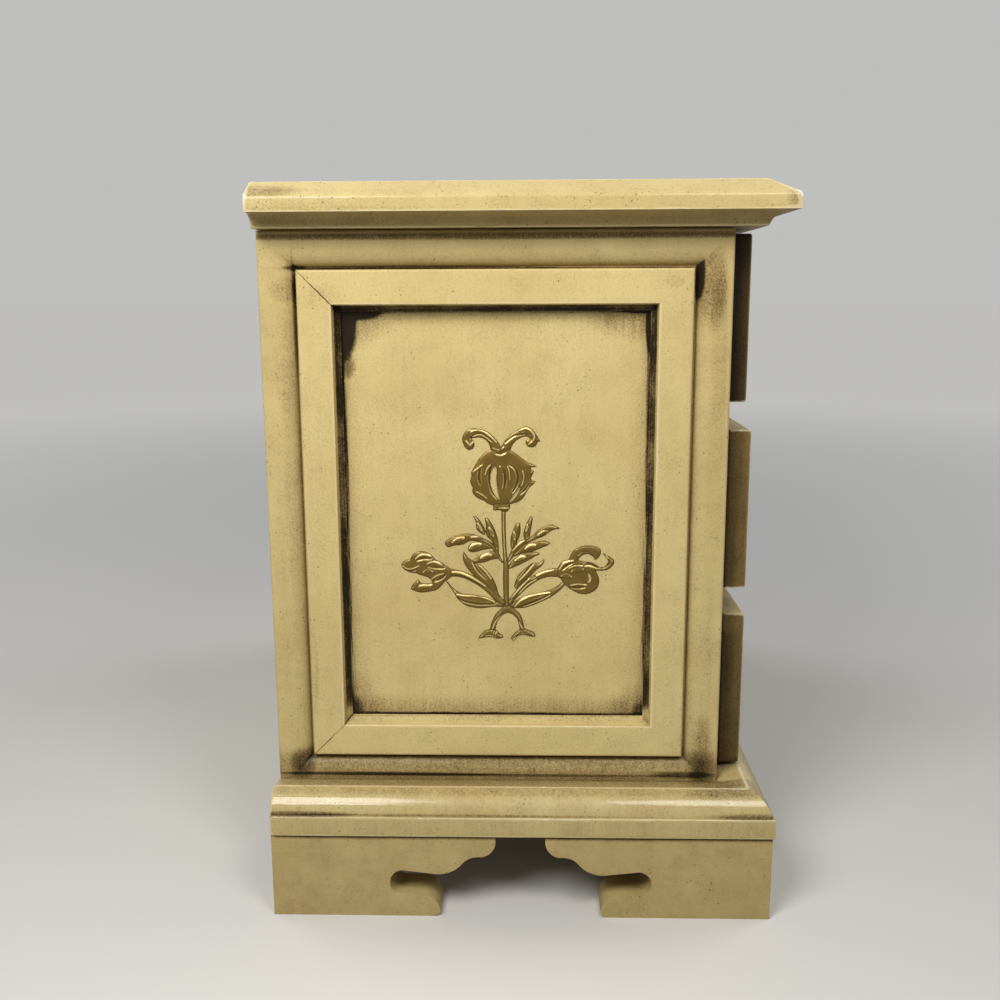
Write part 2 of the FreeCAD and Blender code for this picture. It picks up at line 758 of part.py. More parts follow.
def add_lid():
    """Lid: a bevelled board on a coved, mitred moulding, with the mirror and lining inside."""
    side = "(half_width + lid_side_overhang)"
    front = "(y_front - lid_front_overhang)"
    depth = "(case_depth + lid_front_overhang)"
    fascia = box("lid_fascia", f"-{side}", front, "lid_board_bottom", f"2 * {side}", depth, "fascia_height")
    bevel = doc.addObject("Part::Wedge", "lid_bevel")
    bevel.Placement = Placement(Vector(), turned_to(RIGHT, UP))
    for prop, text in (("Xmin", "0"), ("Ymin", "0"), ("Zmin", "0"), ("X2min", "bevel_run"), ("Z2min", "0"),
                       ("Xmax", f"2 * {side}"), ("Ymax", "lid_top - lid_board_bottom - fascia_height"),
                       ("Zmax", depth), ("X2max", f"2 * {side} - bevel_run"),
                       ("Z2max", f"{depth} - bevel_run")):
        bevel.setExpression(prop, bound(text))
    bind_base(bevel, f"-{side}", "y_back", "lid_board_bottom + fascia_height")
    board = ease("lid_board_eased", fuse("lid_board_blank", [fascia, bevel]), "fascia_round",
                 on_fascia_top)
    recesses = []
    for hand in (-1, 1):
        for end in (-1, 1):
            recesses.append(rod(f"lid_board_pilot_{hand}_{end}", "screw_radius + screw_play",
                                "screw_length - (lid_board_bottom - lid_bottom) + hinge_leaf + 0.2",
                                f"{hand} * hinge_spacing / 2 + {end} * screw_spacing / 2",
                                "y_back - hinge_leaf_depth / 2", "lid_board_bottom - 0.001", UP))
    piece("lid_board", cut("lid_board", board, recesses))

    rise = "(lid_board_bottom - lid_bottom)"
    side_width = "(lid_side_overhang - soffit + side_thick)"
    front_width = "(lid_front_overhang - soffit + front_board)"
    back_strip_depth = "(back_board + 3)"

    def cove(width):
        return [("0", rise), ("cove_run", "0", "cove_radius", -1), (width, "0"), (width, rise)]

    left = mitred_strip("lid_moulding_side", cove(side_width), side_width,
                        "(case_depth + lid_front_overhang - soffit)", ("end",), RIGHT, UP,
                        ("-half_width - lid_side_overhang + soffit", "y_back", "lid_bottom"))
    across = mitred_strip("lid_moulding_across", cove(front_width), front_width,
                          "2 * (half_width + lid_side_overhang - soffit)", ("start", "end"), BACK, UP,
                          ("-half_width - lid_side_overhang + soffit",
                           "y_front - lid_front_overhang + soffit", "lid_bottom"))
    piece("lid_moulding", group("lid_moulding", [left, mirror("lid_moulding_other", left), across]))

    strip = box("lid_back_blank", "-half_inside", f"y_back - {back_strip_depth}", "lid_bottom",
                "2 * half_inside", back_strip_depth, rise)
    tools = []
    for hand in (-1, 1):
        tools.append(box(f"lid_mortise_{hand}", f"{hand} * hinge_spacing / 2 - hinge_length / 2",
                         "y_back - hinge_leaf_depth", "lid_bottom - 1",
                         "hinge_length", "hinge_leaf_depth + 1", "hinge_leaf + 1"))
        for end in (-1, 1):
            tools.append(rod(f"lid_pilot_{hand}_{end}", "screw_radius + screw_play", f"{rise} + 1",
                             f"{hand} * hinge_spacing / 2 + {end} * screw_spacing / 2",
                             "y_back - hinge_leaf_depth / 2", "lid_bottom - 0.5", UP))
    piece("lid_back_strip", cut("lid_back_strip", strip, tools))

    inner_depth = f"(case_depth - front_board - {back_strip_depth})"
    middle = f"(y_front + front_board + {inner_depth} / 2)"
    card = box("lid_lining_card", "-half_inside", "y_front_inside", "lid_board_bottom - lid_lining",
               "2 * half_inside", inner_depth, "lid_lining")
    window = box("lid_lining_window", "-mirror_length / 2", f"{middle} - mirror_height / 2",
                 "lid_board_bottom - lid_lining - 1", "mirror_length", "mirror_height", "lid_lining + 2")
    piece("lid_lining", cut("lid_lining", card, [window]))
    piece("lid_mirror", box("lid_mirror", "-mirror_length / 2", f"{middle} - mirror_height / 2",
                            "lid_board_bottom - mirror_thick", "mirror_length", "mirror_height",
                            "mirror_thick"))


def on_fascia_top(edge, block):
    height = number_of("lid_board_bottom + fascia_height")
    level = abs(edge.BoundBox.ZMin - height) < 0.01 and abs(edge.BoundBox.ZMax - height) < 0.01
    return level and edge.CenterOfMass.y < block.YMax - 0.01


place("hinge_y", "y_back + knuckle + knuckle_clear")
place("hinge_z", "case_top + lid_gap / 2")


def add_hinges():
    """Two stop hinges: leaves let into the back edge, knuckles behind it, and lugs that meet when open."""
    third = "(hinge_length / 3)"
    case_leaves = []
    lid_leaves = []
    pins = []
    case_screws = []
    lid_screws = []
    for hand in (-1, 1):
        start = f"({hand} * hinge_spacing / 2 - hinge_length / 2)"
        for owner, store in (("case", case_leaves), ("lid", lid_leaves)):
            tag = f"{owner}_{hand}"
            low = "case_top - hinge_leaf" if owner == "case" else "lid_bottom"
            parts = [box(f"leaf_{tag}", start, "y_back - hinge_leaf_depth", low,
                         "hinge_length", "hinge_leaf_depth", "hinge_leaf")]
            spans = ((0, 1), (2, 1)) if owner == "case" else ((1, 1),)
            for begin, count in spans:
                left = f"({start} + {begin} * {third} + knuckle_gap)"
                long = f"({count} * {third} - 2 * knuckle_gap)"
                parts.append(rod(f"knuckle_{tag}_{begin}", "knuckle", long, left, "hinge_y", "hinge_z",
                                 RIGHT))
                parts.append(box(f"tab_{tag}_{begin}", left, "y_back - 1", low, long,
                                 "1 + knuckle + knuckle_clear", "hinge_leaf"))
                parts.append(stop_lug(f"lug_root_{tag}_{begin}", owner, left, long, "knuckle * 0.9"))
            parts.append(stop_lug(f"lug_{tag}", owner, start, "hinge_length", "knuckle + knuckle_gap"))
            tools = [rod(f"bore_{tag}", "pin_radius + pin_play", "hinge_length + 2",
                         f"{start} - 1", "hinge_y", "hinge_z", RIGHT)]
            direction = UP if owner == "case" else DOWN
            head = "case_top" if owner == "case" else "lid_bottom"
            under = DOWN if owner == "case" else UP
            for end in (-1, 1):
                x = f"{hand} * hinge_spacing / 2 + {end} * screw_spacing / 2"
                y = "y_back - hinge_leaf_depth / 2"
                tools.append(cone(f"sink_{tag}_{end}", "screw_head + screw_play", "screw_radius + screw_play",
                                  "hinge_leaf", x, y, head, under))
                screw = fuse(f"screw_{tag}_{end}", [
                    cone(f"head_{tag}_{end}", "screw_head", "screw_radius", "hinge_leaf", x, y, head, under),
                    rod(f"shank_{tag}_{end}", "screw_radius", "screw_length", x, y, head, under),
                ])
                (case_screws if owner == "case" else lid_screws).append(screw)
            store.append(cut(f"leaf_cut_{tag}", fuse(f"leaf_blank_{tag}", parts), tools))
        pins.append(rod(f"pin_{hand}", "pin_radius", "hinge_length", start, "hinge_y", "hinge_z", RIGHT))
    piece("hinge_case_leaves", group("hinge_case_leaves", case_leaves))
    piece("hinge_lid_leaves", group("hinge_lid_leaves", lid_leaves))
    piece("hinge_pins", group("hinge_pins", pins))
    piece("hinge_case_screws", group("hinge_case_screws", case_screws))
    piece("hinge_lid_screws", group("hinge_lid_screws", lid_screws))


def stop_lug(name, owner, start, length, inner):
    """A sector of a tube behind the knuckle. The lid's lug stands as far above the case's as the lid opens."""
    full = doc.addObject("Part::Cylinder", name + "_full")
    full.setExpression("Radius", bound("stop_reach"))
    full.setExpression("Height", bound(length))
    full.setExpression("Angle", bound("stop_angle"))
    turn = "-(lid_opening + stop_spare) / 2 - stop_angle" if owner == "case" else \
        "(lid_opening + stop_spare) / 2"
    # The sector's own X lies along +Y and its Y along +Z, so its angle is counted up from the back
    full.Placement = Placement(Vector(), turned_to(BACK, UP))
    bind_base(full, start, "hinge_y", "hinge_z")
    first = Rotation(Vector(1, 0, 0), number_of(turn))
    full.Placement.Rotation = first.multiply(turned_to(BACK, UP))
    core = rod(name + "_core", inner, f"{length} + 2", f"{start} - 1", "hinge_y", "hinge_z", RIGHT)
    return cut(name, full, [core])


def add_compartment():
    """Fittings of the compartment under the lid: lining, dividers and padded ring rolls."""
    low = "upper_shelf_top"
    outer = box("tray_outer", "-half_inside", "y_front_inside", low, "2 * half_inside",
                "y_back_inside - y_front_inside", "case_top - tray_lining_drop - upper_shelf_top")
    inner = box("tray_inner", "-tray_half", "y_front_inside + tray_lining", "tray_floor", "2 * tray_half",
                "y_back_inside - y_front_inside - 2 * tray_lining", "case_top - upper_shelf_top")
    cover_place = box("tray_cover_place", "cover_left", "y_back_inside - cover_depth", f"{low} - 1",
                      "cover_length", "cover_depth + 1", "case_top - upper_shelf_top")
    piece("tray_lining", cut("tray_lining", outer, [inner, cover_place]))

    piece("tray_divider_long", box("tray_divider_long", "-tray_half", "long_divider_front", "tray_floor",
                                   "2 * tray_half", "divider", "divider_height"))
    front = "front_bays_start"
    depth = "front_bays_depth"
    short = [
        box("tray_divider_first", "-tray_half + ring_bay", front, "tray_floor",
            "divider", depth, "divider_height"),
        box("tray_divider_second", "-tray_half + ring_bay + divider + second_bay", front, "tray_floor",
            "divider", depth, "divider_height"),
        box("tray_divider_back", "-tray_half + back_bay", "long_divider_front + divider", "tray_floor",
            "divider", "cover_depth - tray_lining", "divider_height"),
    ]
    piece("tray_dividers_short", group("tray_dividers_short", short))

    bed = box("ring_bed", "-tray_half", front, "tray_floor", "ring_bay", depth, "roll_lift")
    rolls = [bed]
    for number in range(SIZES["roll_count"]):
        rolls.append(rod(f"ring_roll_{number}", "roll_radius", "ring_bay", "-tray_half",
                         f"{front} + {depth} / 2 + ({number} - (roll_count - 1) / 2) * roll_pitch",
                         "tray_floor + roll_lift + roll_radius / 2", RIGHT))
    piece("ring_rolls", fuse("ring_rolls", rolls))


place("tray_half", "half_inside - tray_lining")
place("tray_floor", "upper_shelf_top + tray_lining")
place("cover_left", "tray_half - cover_length")
place("long_divider_front", "y_back_inside - cover_depth - divider")
place("front_bays_start", "y_front_inside + tray_lining")
place("front_bays_depth", "long_divider_front - front_bays_start")
place("roll_pitch", "(front_bays_depth - 2 * roll_margin) / roll_count")
place("roll_radius", "roll_pitch / 2 - roll_gap")

# Places of the movement. It is measured across and up from its winding arbor, and forward from the face of
# the back board. The cylinder lies across, with the comb under it and the governor over its right end.
place("drive_low", "bed_thick + barrel_height + barrel_gap")
place("drive_top", "drive_low + drive_disc + drive_tooth_height")
place("pinion_pitch", "(drive_radius - drive_face / 2) * pinion_teeth / drive_teeth")
place("pinion_tip", "pinion_pitch + pinion_addendum")
place("axis_forward", "drive_top - mesh_depth + pinion_tip")
place("pinion_left", "drive_radius - drive_face / 2 - pinion_width / 2")
place("cylinder_left", "post_place + post_thick + cylinder_gap")
place("spur_left", "cylinder_left + cylinder_length + cylinder_gap")
place("right_post", "spur_left + spur_thick + cylinder_gap")
place("governor_pitch", "spur_pitch * governor_teeth / spur_teeth")
place("governor_up", "(spur_pitch + governor_pitch) * sqrt(3) / 2")
place("governor_forward", "axis_forward - (spur_pitch + governor_pitch) / 2")
place("frame_left", "right_post + post_thick + frame_gap")
place("worm_place", "frame_left + worm_place_in")
place("worm_wheel_tip", "worm_wheel_pitch + fine_addendum")
place("worm_up", "governor_up + worm_wheel_tip + worm_core + worm_gap")
place("worm_lead", "2 * 3.14159265 * worm_wheel_pitch / worm_wheel_teeth")
place("frame_right", "worm_place + fan_radius + fan_side_gap")
place("fan_low", "governor_forward + worm_wheel_tip + fan_clear")
place("bridge_low", "fan_low + fan_height + fan_end_gap")
place("lever_left", "frame_left + cheek_thick + lever_side_gap")
place("lever_low", "worm_up + fan_radius + lever_fan_gap")
place("lever_up", "lever_low + lever_width / 2")


def at(across, up, forward):
    return f"arbor_across + {across}", f"y_back_inside - ({forward})", f"arbor_height + {up}"


def block(name, across, up, forward, length, height, depth):
    """A block of the movement from its left, low, back corner."""
    return box(name, *at(across, up, f"{forward} + {depth}"), length, depth, height)


def toothed_wheel(name, x_axis, y_axis, base, wheel, tooth, teeth, first):
    """A wheel with its teeth. The first tooth stands at an angle from the wheel's own X axis.
    wheel gives radius and thickness; tooth gives its corners and its length along the axis."""
    turn = math.radians(first)
    x_way = Vector(*x_axis)
    y_way = Vector(*y_axis)
    body = new_body(name, tuple(x_way * math.cos(turn) + y_way * math.sin(turn)),
                    tuple(y_way * math.cos(turn) - x_way * math.sin(turn)), *base)
    pad(body, ring(body, "XY_Plane", wheel[0]), wheel[1], "disc")
    sketch = outline(body, "XY_Plane", tooth[0], "tooth_outline")
    one = pad(body, sketch, tooth[1], "tooth")
    pattern = body.newObject("PartDesign::PolarPattern", "teeth")
    pattern.Originals = [one]
    pattern.Axis = (sketch, ["N_Axis"])
    pattern.Angle = 360
    pattern.setExpression("Occurrences", bound(teeth))
    body.Tip = pattern
    return body


def fine_tooth(pitch, thick):
    """A tapered tooth of the fine wheels, about its pitch radius."""
    tip = f"{pitch} + fine_addendum"
    root = f"{tip} - fine_tooth_height - fine_tooth_root / 2"
    return ([(root, "-fine_tooth_root / 2"), (tip, "-fine_tooth_tip / 2"), (tip, "fine_tooth_tip / 2"),
             (root, "fine_tooth_root / 2")], thick)


def fine_wheel(name, base, pitch, teeth, thick, first):
    return toothed_wheel(name, UP, FRONT, base, (f"{pitch} + fine_addendum - fine_tooth_height", thick),
                         fine_tooth(pitch, thick), teeth, first)


def add_movement_cover():
    """Cover of the movement, open at the back and below, with a slot for the stop lever."""
    low = "upper_shelf_top"
    y = "y_back_inside - cover_depth"
    outer = box("cover_outer", "cover_left", y, low, "cover_length", "cover_depth", f"cover_top - {low}")
    inner = box("cover_inner", "cover_left + cover_wall", f"{y} + cover_wall", f"{low} - 1",
                "cover_length - 2 * cover_wall", "cover_depth", f"cover_top - {low} - cover_wall + 1")
    slot = box("cover_slot", *at("lever_left + lever_thick / 2 - slot_width / 2", "0",
                                 "lever_place + lever_reach + slot_length / 2 - 1"),
               "slot_width", "slot_length", "cover_top - arbor_height + 1")
    piece("movement_cover", cut("movement_cover", outer, [inner, slot]))


def add_bedplate():
    """Bedplate with the two posts of the cylinder and the block under the comb."""
    plate = block("bed", "-bed_left", "-bed_below", "0", "bed_length", "bed_above + bed_below", "bed_thick")
    parts = [plate]
    for label, left in (("left", "post_place"), ("right", "right_post")):
        parts.append(block(f"post_{label}", left, "-post_width / 2", "0", "post_thick", "post_width",
                           "axis_forward + post_above"))
    parts.append(block("comb_block", "comb_left", "comb_low", "0", "comb_teeth * comb_pitch", "comb_heel",
                       "axis_forward - comb_thick / 2"))
    tools = [
        rod("arbor_hole", "arbor_radius + bore_play", "bed_thick + 2", *at("0", "0", "-1"), FRONT),
        rod("spindle_holes", "spindle_radius + bore_play", "bed_length", *at("0", "0", "axis_forward"), RIGHT),
    ]
    for index, (across, up) in enumerate(MOUNT_SCREWS):
        tools.append(rod(f"bed_hole_{index}", "mount_screw + screw_play", "bed_thick + 2",
                         *at(across, up, "-1"), FRONT))
    for index, across in enumerate(COMB_SCREWS):
        tools.append(rod(f"comb_block_hole_{index}", "comb_screw + screw_play", "comb_screw_depth + 1",
                         *at(across, "comb_low + comb_heel / 2", "axis_forward + 1"), BACK))
    piece("movement_bedplate", cut("movement_bedplate", fuse("bed_blank", parts), tools))


place("comb_left", "cylinder_left + (cylinder_length - comb_teeth * comb_pitch) / 2")
place("comb_tip", "-cylinder_radius - pin_height - comb_gap")
place("comb_low", "comb_tip - comb_tooth_length - comb_heel")
COMB_SCREWS = ("(comb_left + comb_teeth * comb_pitch / 5)", "(comb_left + comb_teeth * comb_pitch * 4 / 5)")


def add_spring_drive():
    """Spring barrel, the wound mainspring in it, and the drive wheel on the winding arbor."""
    shell = rod("barrel_shell", "barrel_radius", "barrel_height", *at("0", "0", "bed_thick"), FRONT)
    hollow = rod("barrel_hollow", "barrel_radius - barrel_wall", "barrel_height - barrel_wall + 1",
                 *at("0", "0", "bed_thick - 1"), FRONT)
    hole = rod("barrel_hole", "arbor_radius + bore_play", "barrel_height + 2", *at("0", "0", "bed_thick"), FRONT)
    piece("spring_barrel", cut("spring_barrel", shell, [hollow, hole]))

    # The strip's half turns widen by the same amount each, with their ends on one line
    count = SIZES["spring_half_turns"]
    growth = "((barrel_radius - barrel_wall - spring_thick - spring_inner) / spring_half_turns)"
    ends = [f"{'' if turn % 2 == 0 else '-'}(spring_inner + {turn} * {growth}" for turn in range(count + 1)]
    steps = [(ends[0] + ")", "0")]
    for turn in range(count):
        steps.append((ends[turn + 1] + ")", "0", None, 1))
    steps.append((ends[count] + " + spring_thick)", "0"))
    for turn in range(count - 1, -1, -1):
        steps.append((ends[turn] + " + spring_thick)", "0", None, -1))
    body = new_body("mainspring", RIGHT, UP, *at("0", "0", "bed_thick"))
    pad(body, outline(body, "XY_Plane", steps), "spring_height")
    piece("mainspring", body)

    tooth = [("drive_radius - drive_face", "-drive_tooth_width / 2"), ("drive_radius", "-drive_tooth_width / 2"),
             ("drive_radius", "drive_tooth_width / 2"), ("drive_radius - drive_face", "drive_tooth_width / 2")]
    crown = toothed_wheel("drive_crown", RIGHT, UP, at("0", "0", "drive_low"), ("drive_radius", "drive_disc"),
                          (tooth, "drive_disc + drive_tooth_height"), "drive_teeth",
                          180 / SIZES["drive_teeth"])
    arbor = rod("arbor", "arbor_radius", "arbor_length", *at("0", "0", "-arbor_end"), FRONT)
    piece("drive_wheel", fuse("drive_wheel", [crown, arbor]))


place("arbor_end", "back_board + key_stand_off + key_bore_depth")
place("arbor_length", "arbor_end + drive_low + drive_disc")


def add_winding_key():
    hub = rod("key_hub_rod", "key_hub", "key_reach - key_stand_off",
              *at("0", "0", "-back_board - key_stand_off"), BACK)
    wings = []
    holes = [rod("key_bore", "arbor_radius + bore_play", "key_bore_depth + 1",
                 *at("0", "0", "-back_board - key_stand_off + 1"), BACK)]
    for hand in (-1, 1):
        middle = at("-key_wing_thick / 2 - 1", f"{hand} * key_wing_place", "-back_board - key_reach + key_wing")
        wings.append(rod(f"key_wing_{hand}", "key_wing", "key_wing_thick", f"{middle[0]} + 1", *middle[1:],
                         RIGHT))
        holes.append(rod(f"key_eye_{hand}", "key_wing_hole", "key_wing_thick + 2", middle[0],
                         middle[1], f"{middle[2]} + {hand} * (key_wing - key_wing_hole) / 3", RIGHT))
    piece("winding_key", cut("winding_key", fuse("key_blank", [hub] + wings), holes))


# Degrees between one pin and the next, which spreads the pins evenly.
GOLDEN_ANGLE = 137.508


def add_cylinder():
    """The pinned cylinder with its pinion, its spur wheel and its spindle, all turning together."""
    tooth_root = "pinion_tip - pinion_tooth_height"
    tooth = [(f"{tooth_root} - 0.3", "-pinion_tooth_root / 2"), ("pinion_tip", "-pinion_tooth_tip / 2"),
             ("pinion_tip", "pinion_tooth_tip / 2"), (f"{tooth_root} - 0.3", "pinion_tooth_root / 2")]
    pinion = toothed_wheel("pinion", UP, FRONT, at("pinion_left", "0", "axis_forward"),
                           (tooth_root, "pinion_width"), (tooth, "pinion_width"), "pinion_teeth", 0)
    # A gap of the spur wheel faces the governor's pinion, 30 degrees back from straight up
    pitch_angle = 360 / SIZES["spur_teeth"]
    spur = fine_wheel("spur", at("spur_left", "0", "axis_forward"), "spur_pitch", "spur_teeth",
                      "spur_thick", pitch_angle / 2 - 30)
    spindle = rod("spindle", "spindle_radius", "right_post + post_thick - pinion_left",
                  *at("pinion_left", "0", "axis_forward"), RIGHT)
    drum = rod("drum", "cylinder_radius", "cylinder_length", *at("cylinder_left", "0", "axis_forward"), RIGHT)
    hollow = rod("drum_hollow", "cylinder_radius - cylinder_wall", "cylinder_length",
                 *at("cylinder_left + cylinder_wall", "0", "axis_forward"), RIGHT)
    parts = [pinion, spur, spindle, cut("drum_shell", drum, [hollow])]
    for track in range(SIZES["comb_teeth"]):
        for number in range(SIZES["pins_per_track"]):
            angle = math.radians(GOLDEN_ANGLE * (track * SIZES["pins_per_track"] + number))
            up = round(math.cos(angle), 5)
            forward = round(math.sin(angle), 5)
            inside = "(cylinder_radius - cylinder_wall / 2)"
            parts.append(rod(f"pin_{track}_{number}", "pin_wire", "pin_height + cylinder_wall / 2",
                             *at(f"comb_left + ({track} + 0.5) * comb_pitch", f"{up} * {inside}",
                                 f"axis_forward + {forward} * {inside}"), (0, -forward, up)))
    piece("cylinder", fuse("cylinder", parts))


def add_comb():
    """The comb: a slotted steel plate whose teeth reach up to the pins of the cylinder."""
    back = "axis_forward - comb_thick / 2"
    plate = block("comb_plate", "comb_left", "comb_low", back, "comb_teeth * comb_pitch",
                  "comb_heel + comb_tooth_length", "comb_thick")
    tools = [block(f"comb_slot_{number}", f"comb_left + {number} * comb_pitch - comb_slot / 2",
                   "comb_low + comb_heel", f"{back} - 1", "comb_slot", "comb_tooth_length + 1",
                   "comb_thick + 2") for number in range(1, SIZES["comb_teeth"])]
    for index, across in enumerate(COMB_SCREWS):
        tools.append(rod(f"comb_hole_{index}", "comb_screw + screw_play", "comb_thick + 2",
                         *at(across, "comb_low + comb_heel / 2", f"{back} - 1"), FRONT))
    piece("comb", cut("comb", plate, tools))


def add_governor():
    """Governor: a frame on the bedplate, a wheel driven by the spur, and the fan on its worm."""
    cheek_low = "governor_up - cheek_half"
    worm_low = "worm_up - cheek_half"
    top = "bridge_low + cheek_thick"
    parts = [
        block("frame_base", "frame_left", cheek_low, "bed_thick", "frame_right + cheek_thick - frame_left",
              "worm_up + cheek_half - governor_up + cheek_half", "cheek_thick"),
        block("frame_left_cheek", "frame_left", cheek_low, "bed_thick", "cheek_thick", "2 * cheek_half",
              "governor_forward + cheek_half - bed_thick"),
        block("frame_ear", "frame_left", cheek_low, "bed_thick", "cheek_thick",
              "lever_up + cheek_half - governor_up + cheek_half - 0.6", "lever_place + cheek_half - bed_thick"),
        block("frame_right_cheek", "frame_right", cheek_low, "bed_thick", "cheek_thick",
              "worm_up + cheek_half - governor_up + cheek_half", f"{top} - bed_thick"),
        block("frame_bridge", "worm_place - cheek_half", worm_low, "bridge_low",
              "frame_right + cheek_thick - worm_place + cheek_half", "2 * cheek_half", "cheek_thick"),
        rod("lever_pin_rod", "lever_pin", "cheek_thick + 2 * lever_side_gap + lever_thick + cheek_thick",
            *at("frame_left", "lever_up", "lever_place"), RIGHT),
        rod("lever_pin_head", "lever_boss * 0.8", "cheek_thick / 2",
            *at("lever_left + lever_thick + lever_side_gap", "lever_up", "lever_place"), RIGHT),
    ]
    tools = [
        rod("governor_holes", "governor_spindle + bore_play", "bed_length",
            *at("0", "governor_up", "governor_forward"), RIGHT),
        rod("fan_holes", "pivot_radius + bore_play", f"{top} + 2", *at("worm_place", "worm_up", "0"), FRONT),
    ]
    piece("governor_frame", cut("governor_frame", fuse("governor_frame_blank", parts), tools))

    pinion = fine_wheel("governor_pinion", at("spur_left", "governor_up", "governor_forward"),
                        "governor_pitch", "governor_teeth", "spur_thick", 150)
    wheel = fine_wheel("worm_wheel", at("worm_place - worm_wheel_thick / 2", "governor_up",
                                        "governor_forward"),
                       "worm_wheel_pitch", "worm_wheel_teeth", "worm_wheel_thick",
                       180 / SIZES["worm_wheel_teeth"])
    spindle = rod("governor_spindle_rod", "governor_spindle", "frame_right + cheek_thick - spur_left + 0.2",
                  *at("spur_left - 0.2", "governor_up", "governor_forward"), RIGHT)
    piece("governor_wheel", fuse("governor_wheel", [pinion, wheel, spindle]))

    base = at("worm_place", "worm_up", "governor_forward")
    worm = new_body("worm", DOWN, LEFT, *base)
    profile = outline(worm, "XZ_Plane", [
        ("worm_core - 0.15", "-worm_turns / 2 * worm_lead - worm_root_width / 2"),
        ("worm_core + worm_thread", "-worm_turns / 2 * worm_lead - worm_tip_width / 2"),
        ("worm_core + worm_thread", "-worm_turns / 2 * worm_lead + worm_tip_width / 2"),
        ("worm_core - 0.15", "-worm_turns / 2 * worm_lead + worm_root_width / 2"),
    ], "thread")
    thread = worm.newObject("PartDesign::AdditiveHelix", "thread_turns")
    thread.Profile = profile
    thread.ReferenceAxis = (profile, ["V_Axis"])
    thread.Mode = 0
    thread.setExpression("Pitch", bound("worm_lead"))
    thread.setExpression("Height", bound("worm_turns * worm_lead"))
    core = rod("worm_core_rod", "worm_core", "fan_low + fan_height - bed_thick - cheek_thick - fan_end_gap",
               *at("worm_place", "worm_up", "bed_thick + cheek_thick + fan_end_gap"), FRONT)
    pivots = rod("fan_pivots", "pivot_radius", f"{top} - bed_thick - 0.1",
                 *at("worm_place", "worm_up", "bed_thick + 0.1"), FRONT)
    blade = block("fan_blade", "worm_place - fan_radius", "worm_up - fan_thick / 2", "fan_low",
                  "2 * fan_radius", "fan_thick", "fan_height")
    piece("governor_fan", fuse("governor_fan", [worm, core, pivots, blade]))


def add_stop_lever():
    """Wire-thin lever that the lid holds down. Its arm lies just over the fan."""
    boss = rod("lever_boss_disc", "lever_boss", "lever_thick", *at("lever_left", "lever_up", "lever_place"),
               RIGHT)
    arm = block("lever_arm", "lever_left", "lever_low", "lever_place", "lever_thick", "lever_width",
                "lever_reach")
    finger = block("lever_finger", "lever_left", "lever_low", "lever_place + lever_reach - lever_width",
                   "lever_thick", "lid_board_bottom - lid_lining - lever_clear - arbor_height - lever_low",
                   "lever_width")
    hole = rod("lever_hole", "lever_pin + bore_play", "lever_thick + 2",
               *at("lever_left - 1", "lever_up", "lever_place"), RIGHT)
    piece("stop_lever", cut("stop_lever", fuse("lever_blank", [boss, arm, finger]), [hole]))


def add_movement_screws():
    screws = []
    for index, (across, up) in enumerate(MOUNT_SCREWS):
        screws.append(fuse(f"mount_screw_{index}", [
            rod(f"mount_head_{index}", "mount_head", "mount_head_thick", *at(across, up, "-back_board"), BACK),
            rod(f"mount_shank_{index}", "mount_screw", "back_board + bed_thick",
                *at(across, up, "-back_board"), FRONT),
        ]))
    for index, across in enumerate(COMB_SCREWS):
        spot = at(across, "comb_low + comb_heel / 2", "axis_forward + comb_thick / 2")
        screws.append(fuse(f"comb_screw_{index}", [
            rod(f"comb_head_{index}", "comb_screw_head", "comb_screw_head_thick", *spot, FRONT),
            rod(f"comb_shank_{index}", "comb_screw", "comb_thick + comb_screw_depth / 2", *spot, BACK),
        ]))
    piece("movement_screws", group("movement_screws", screws))


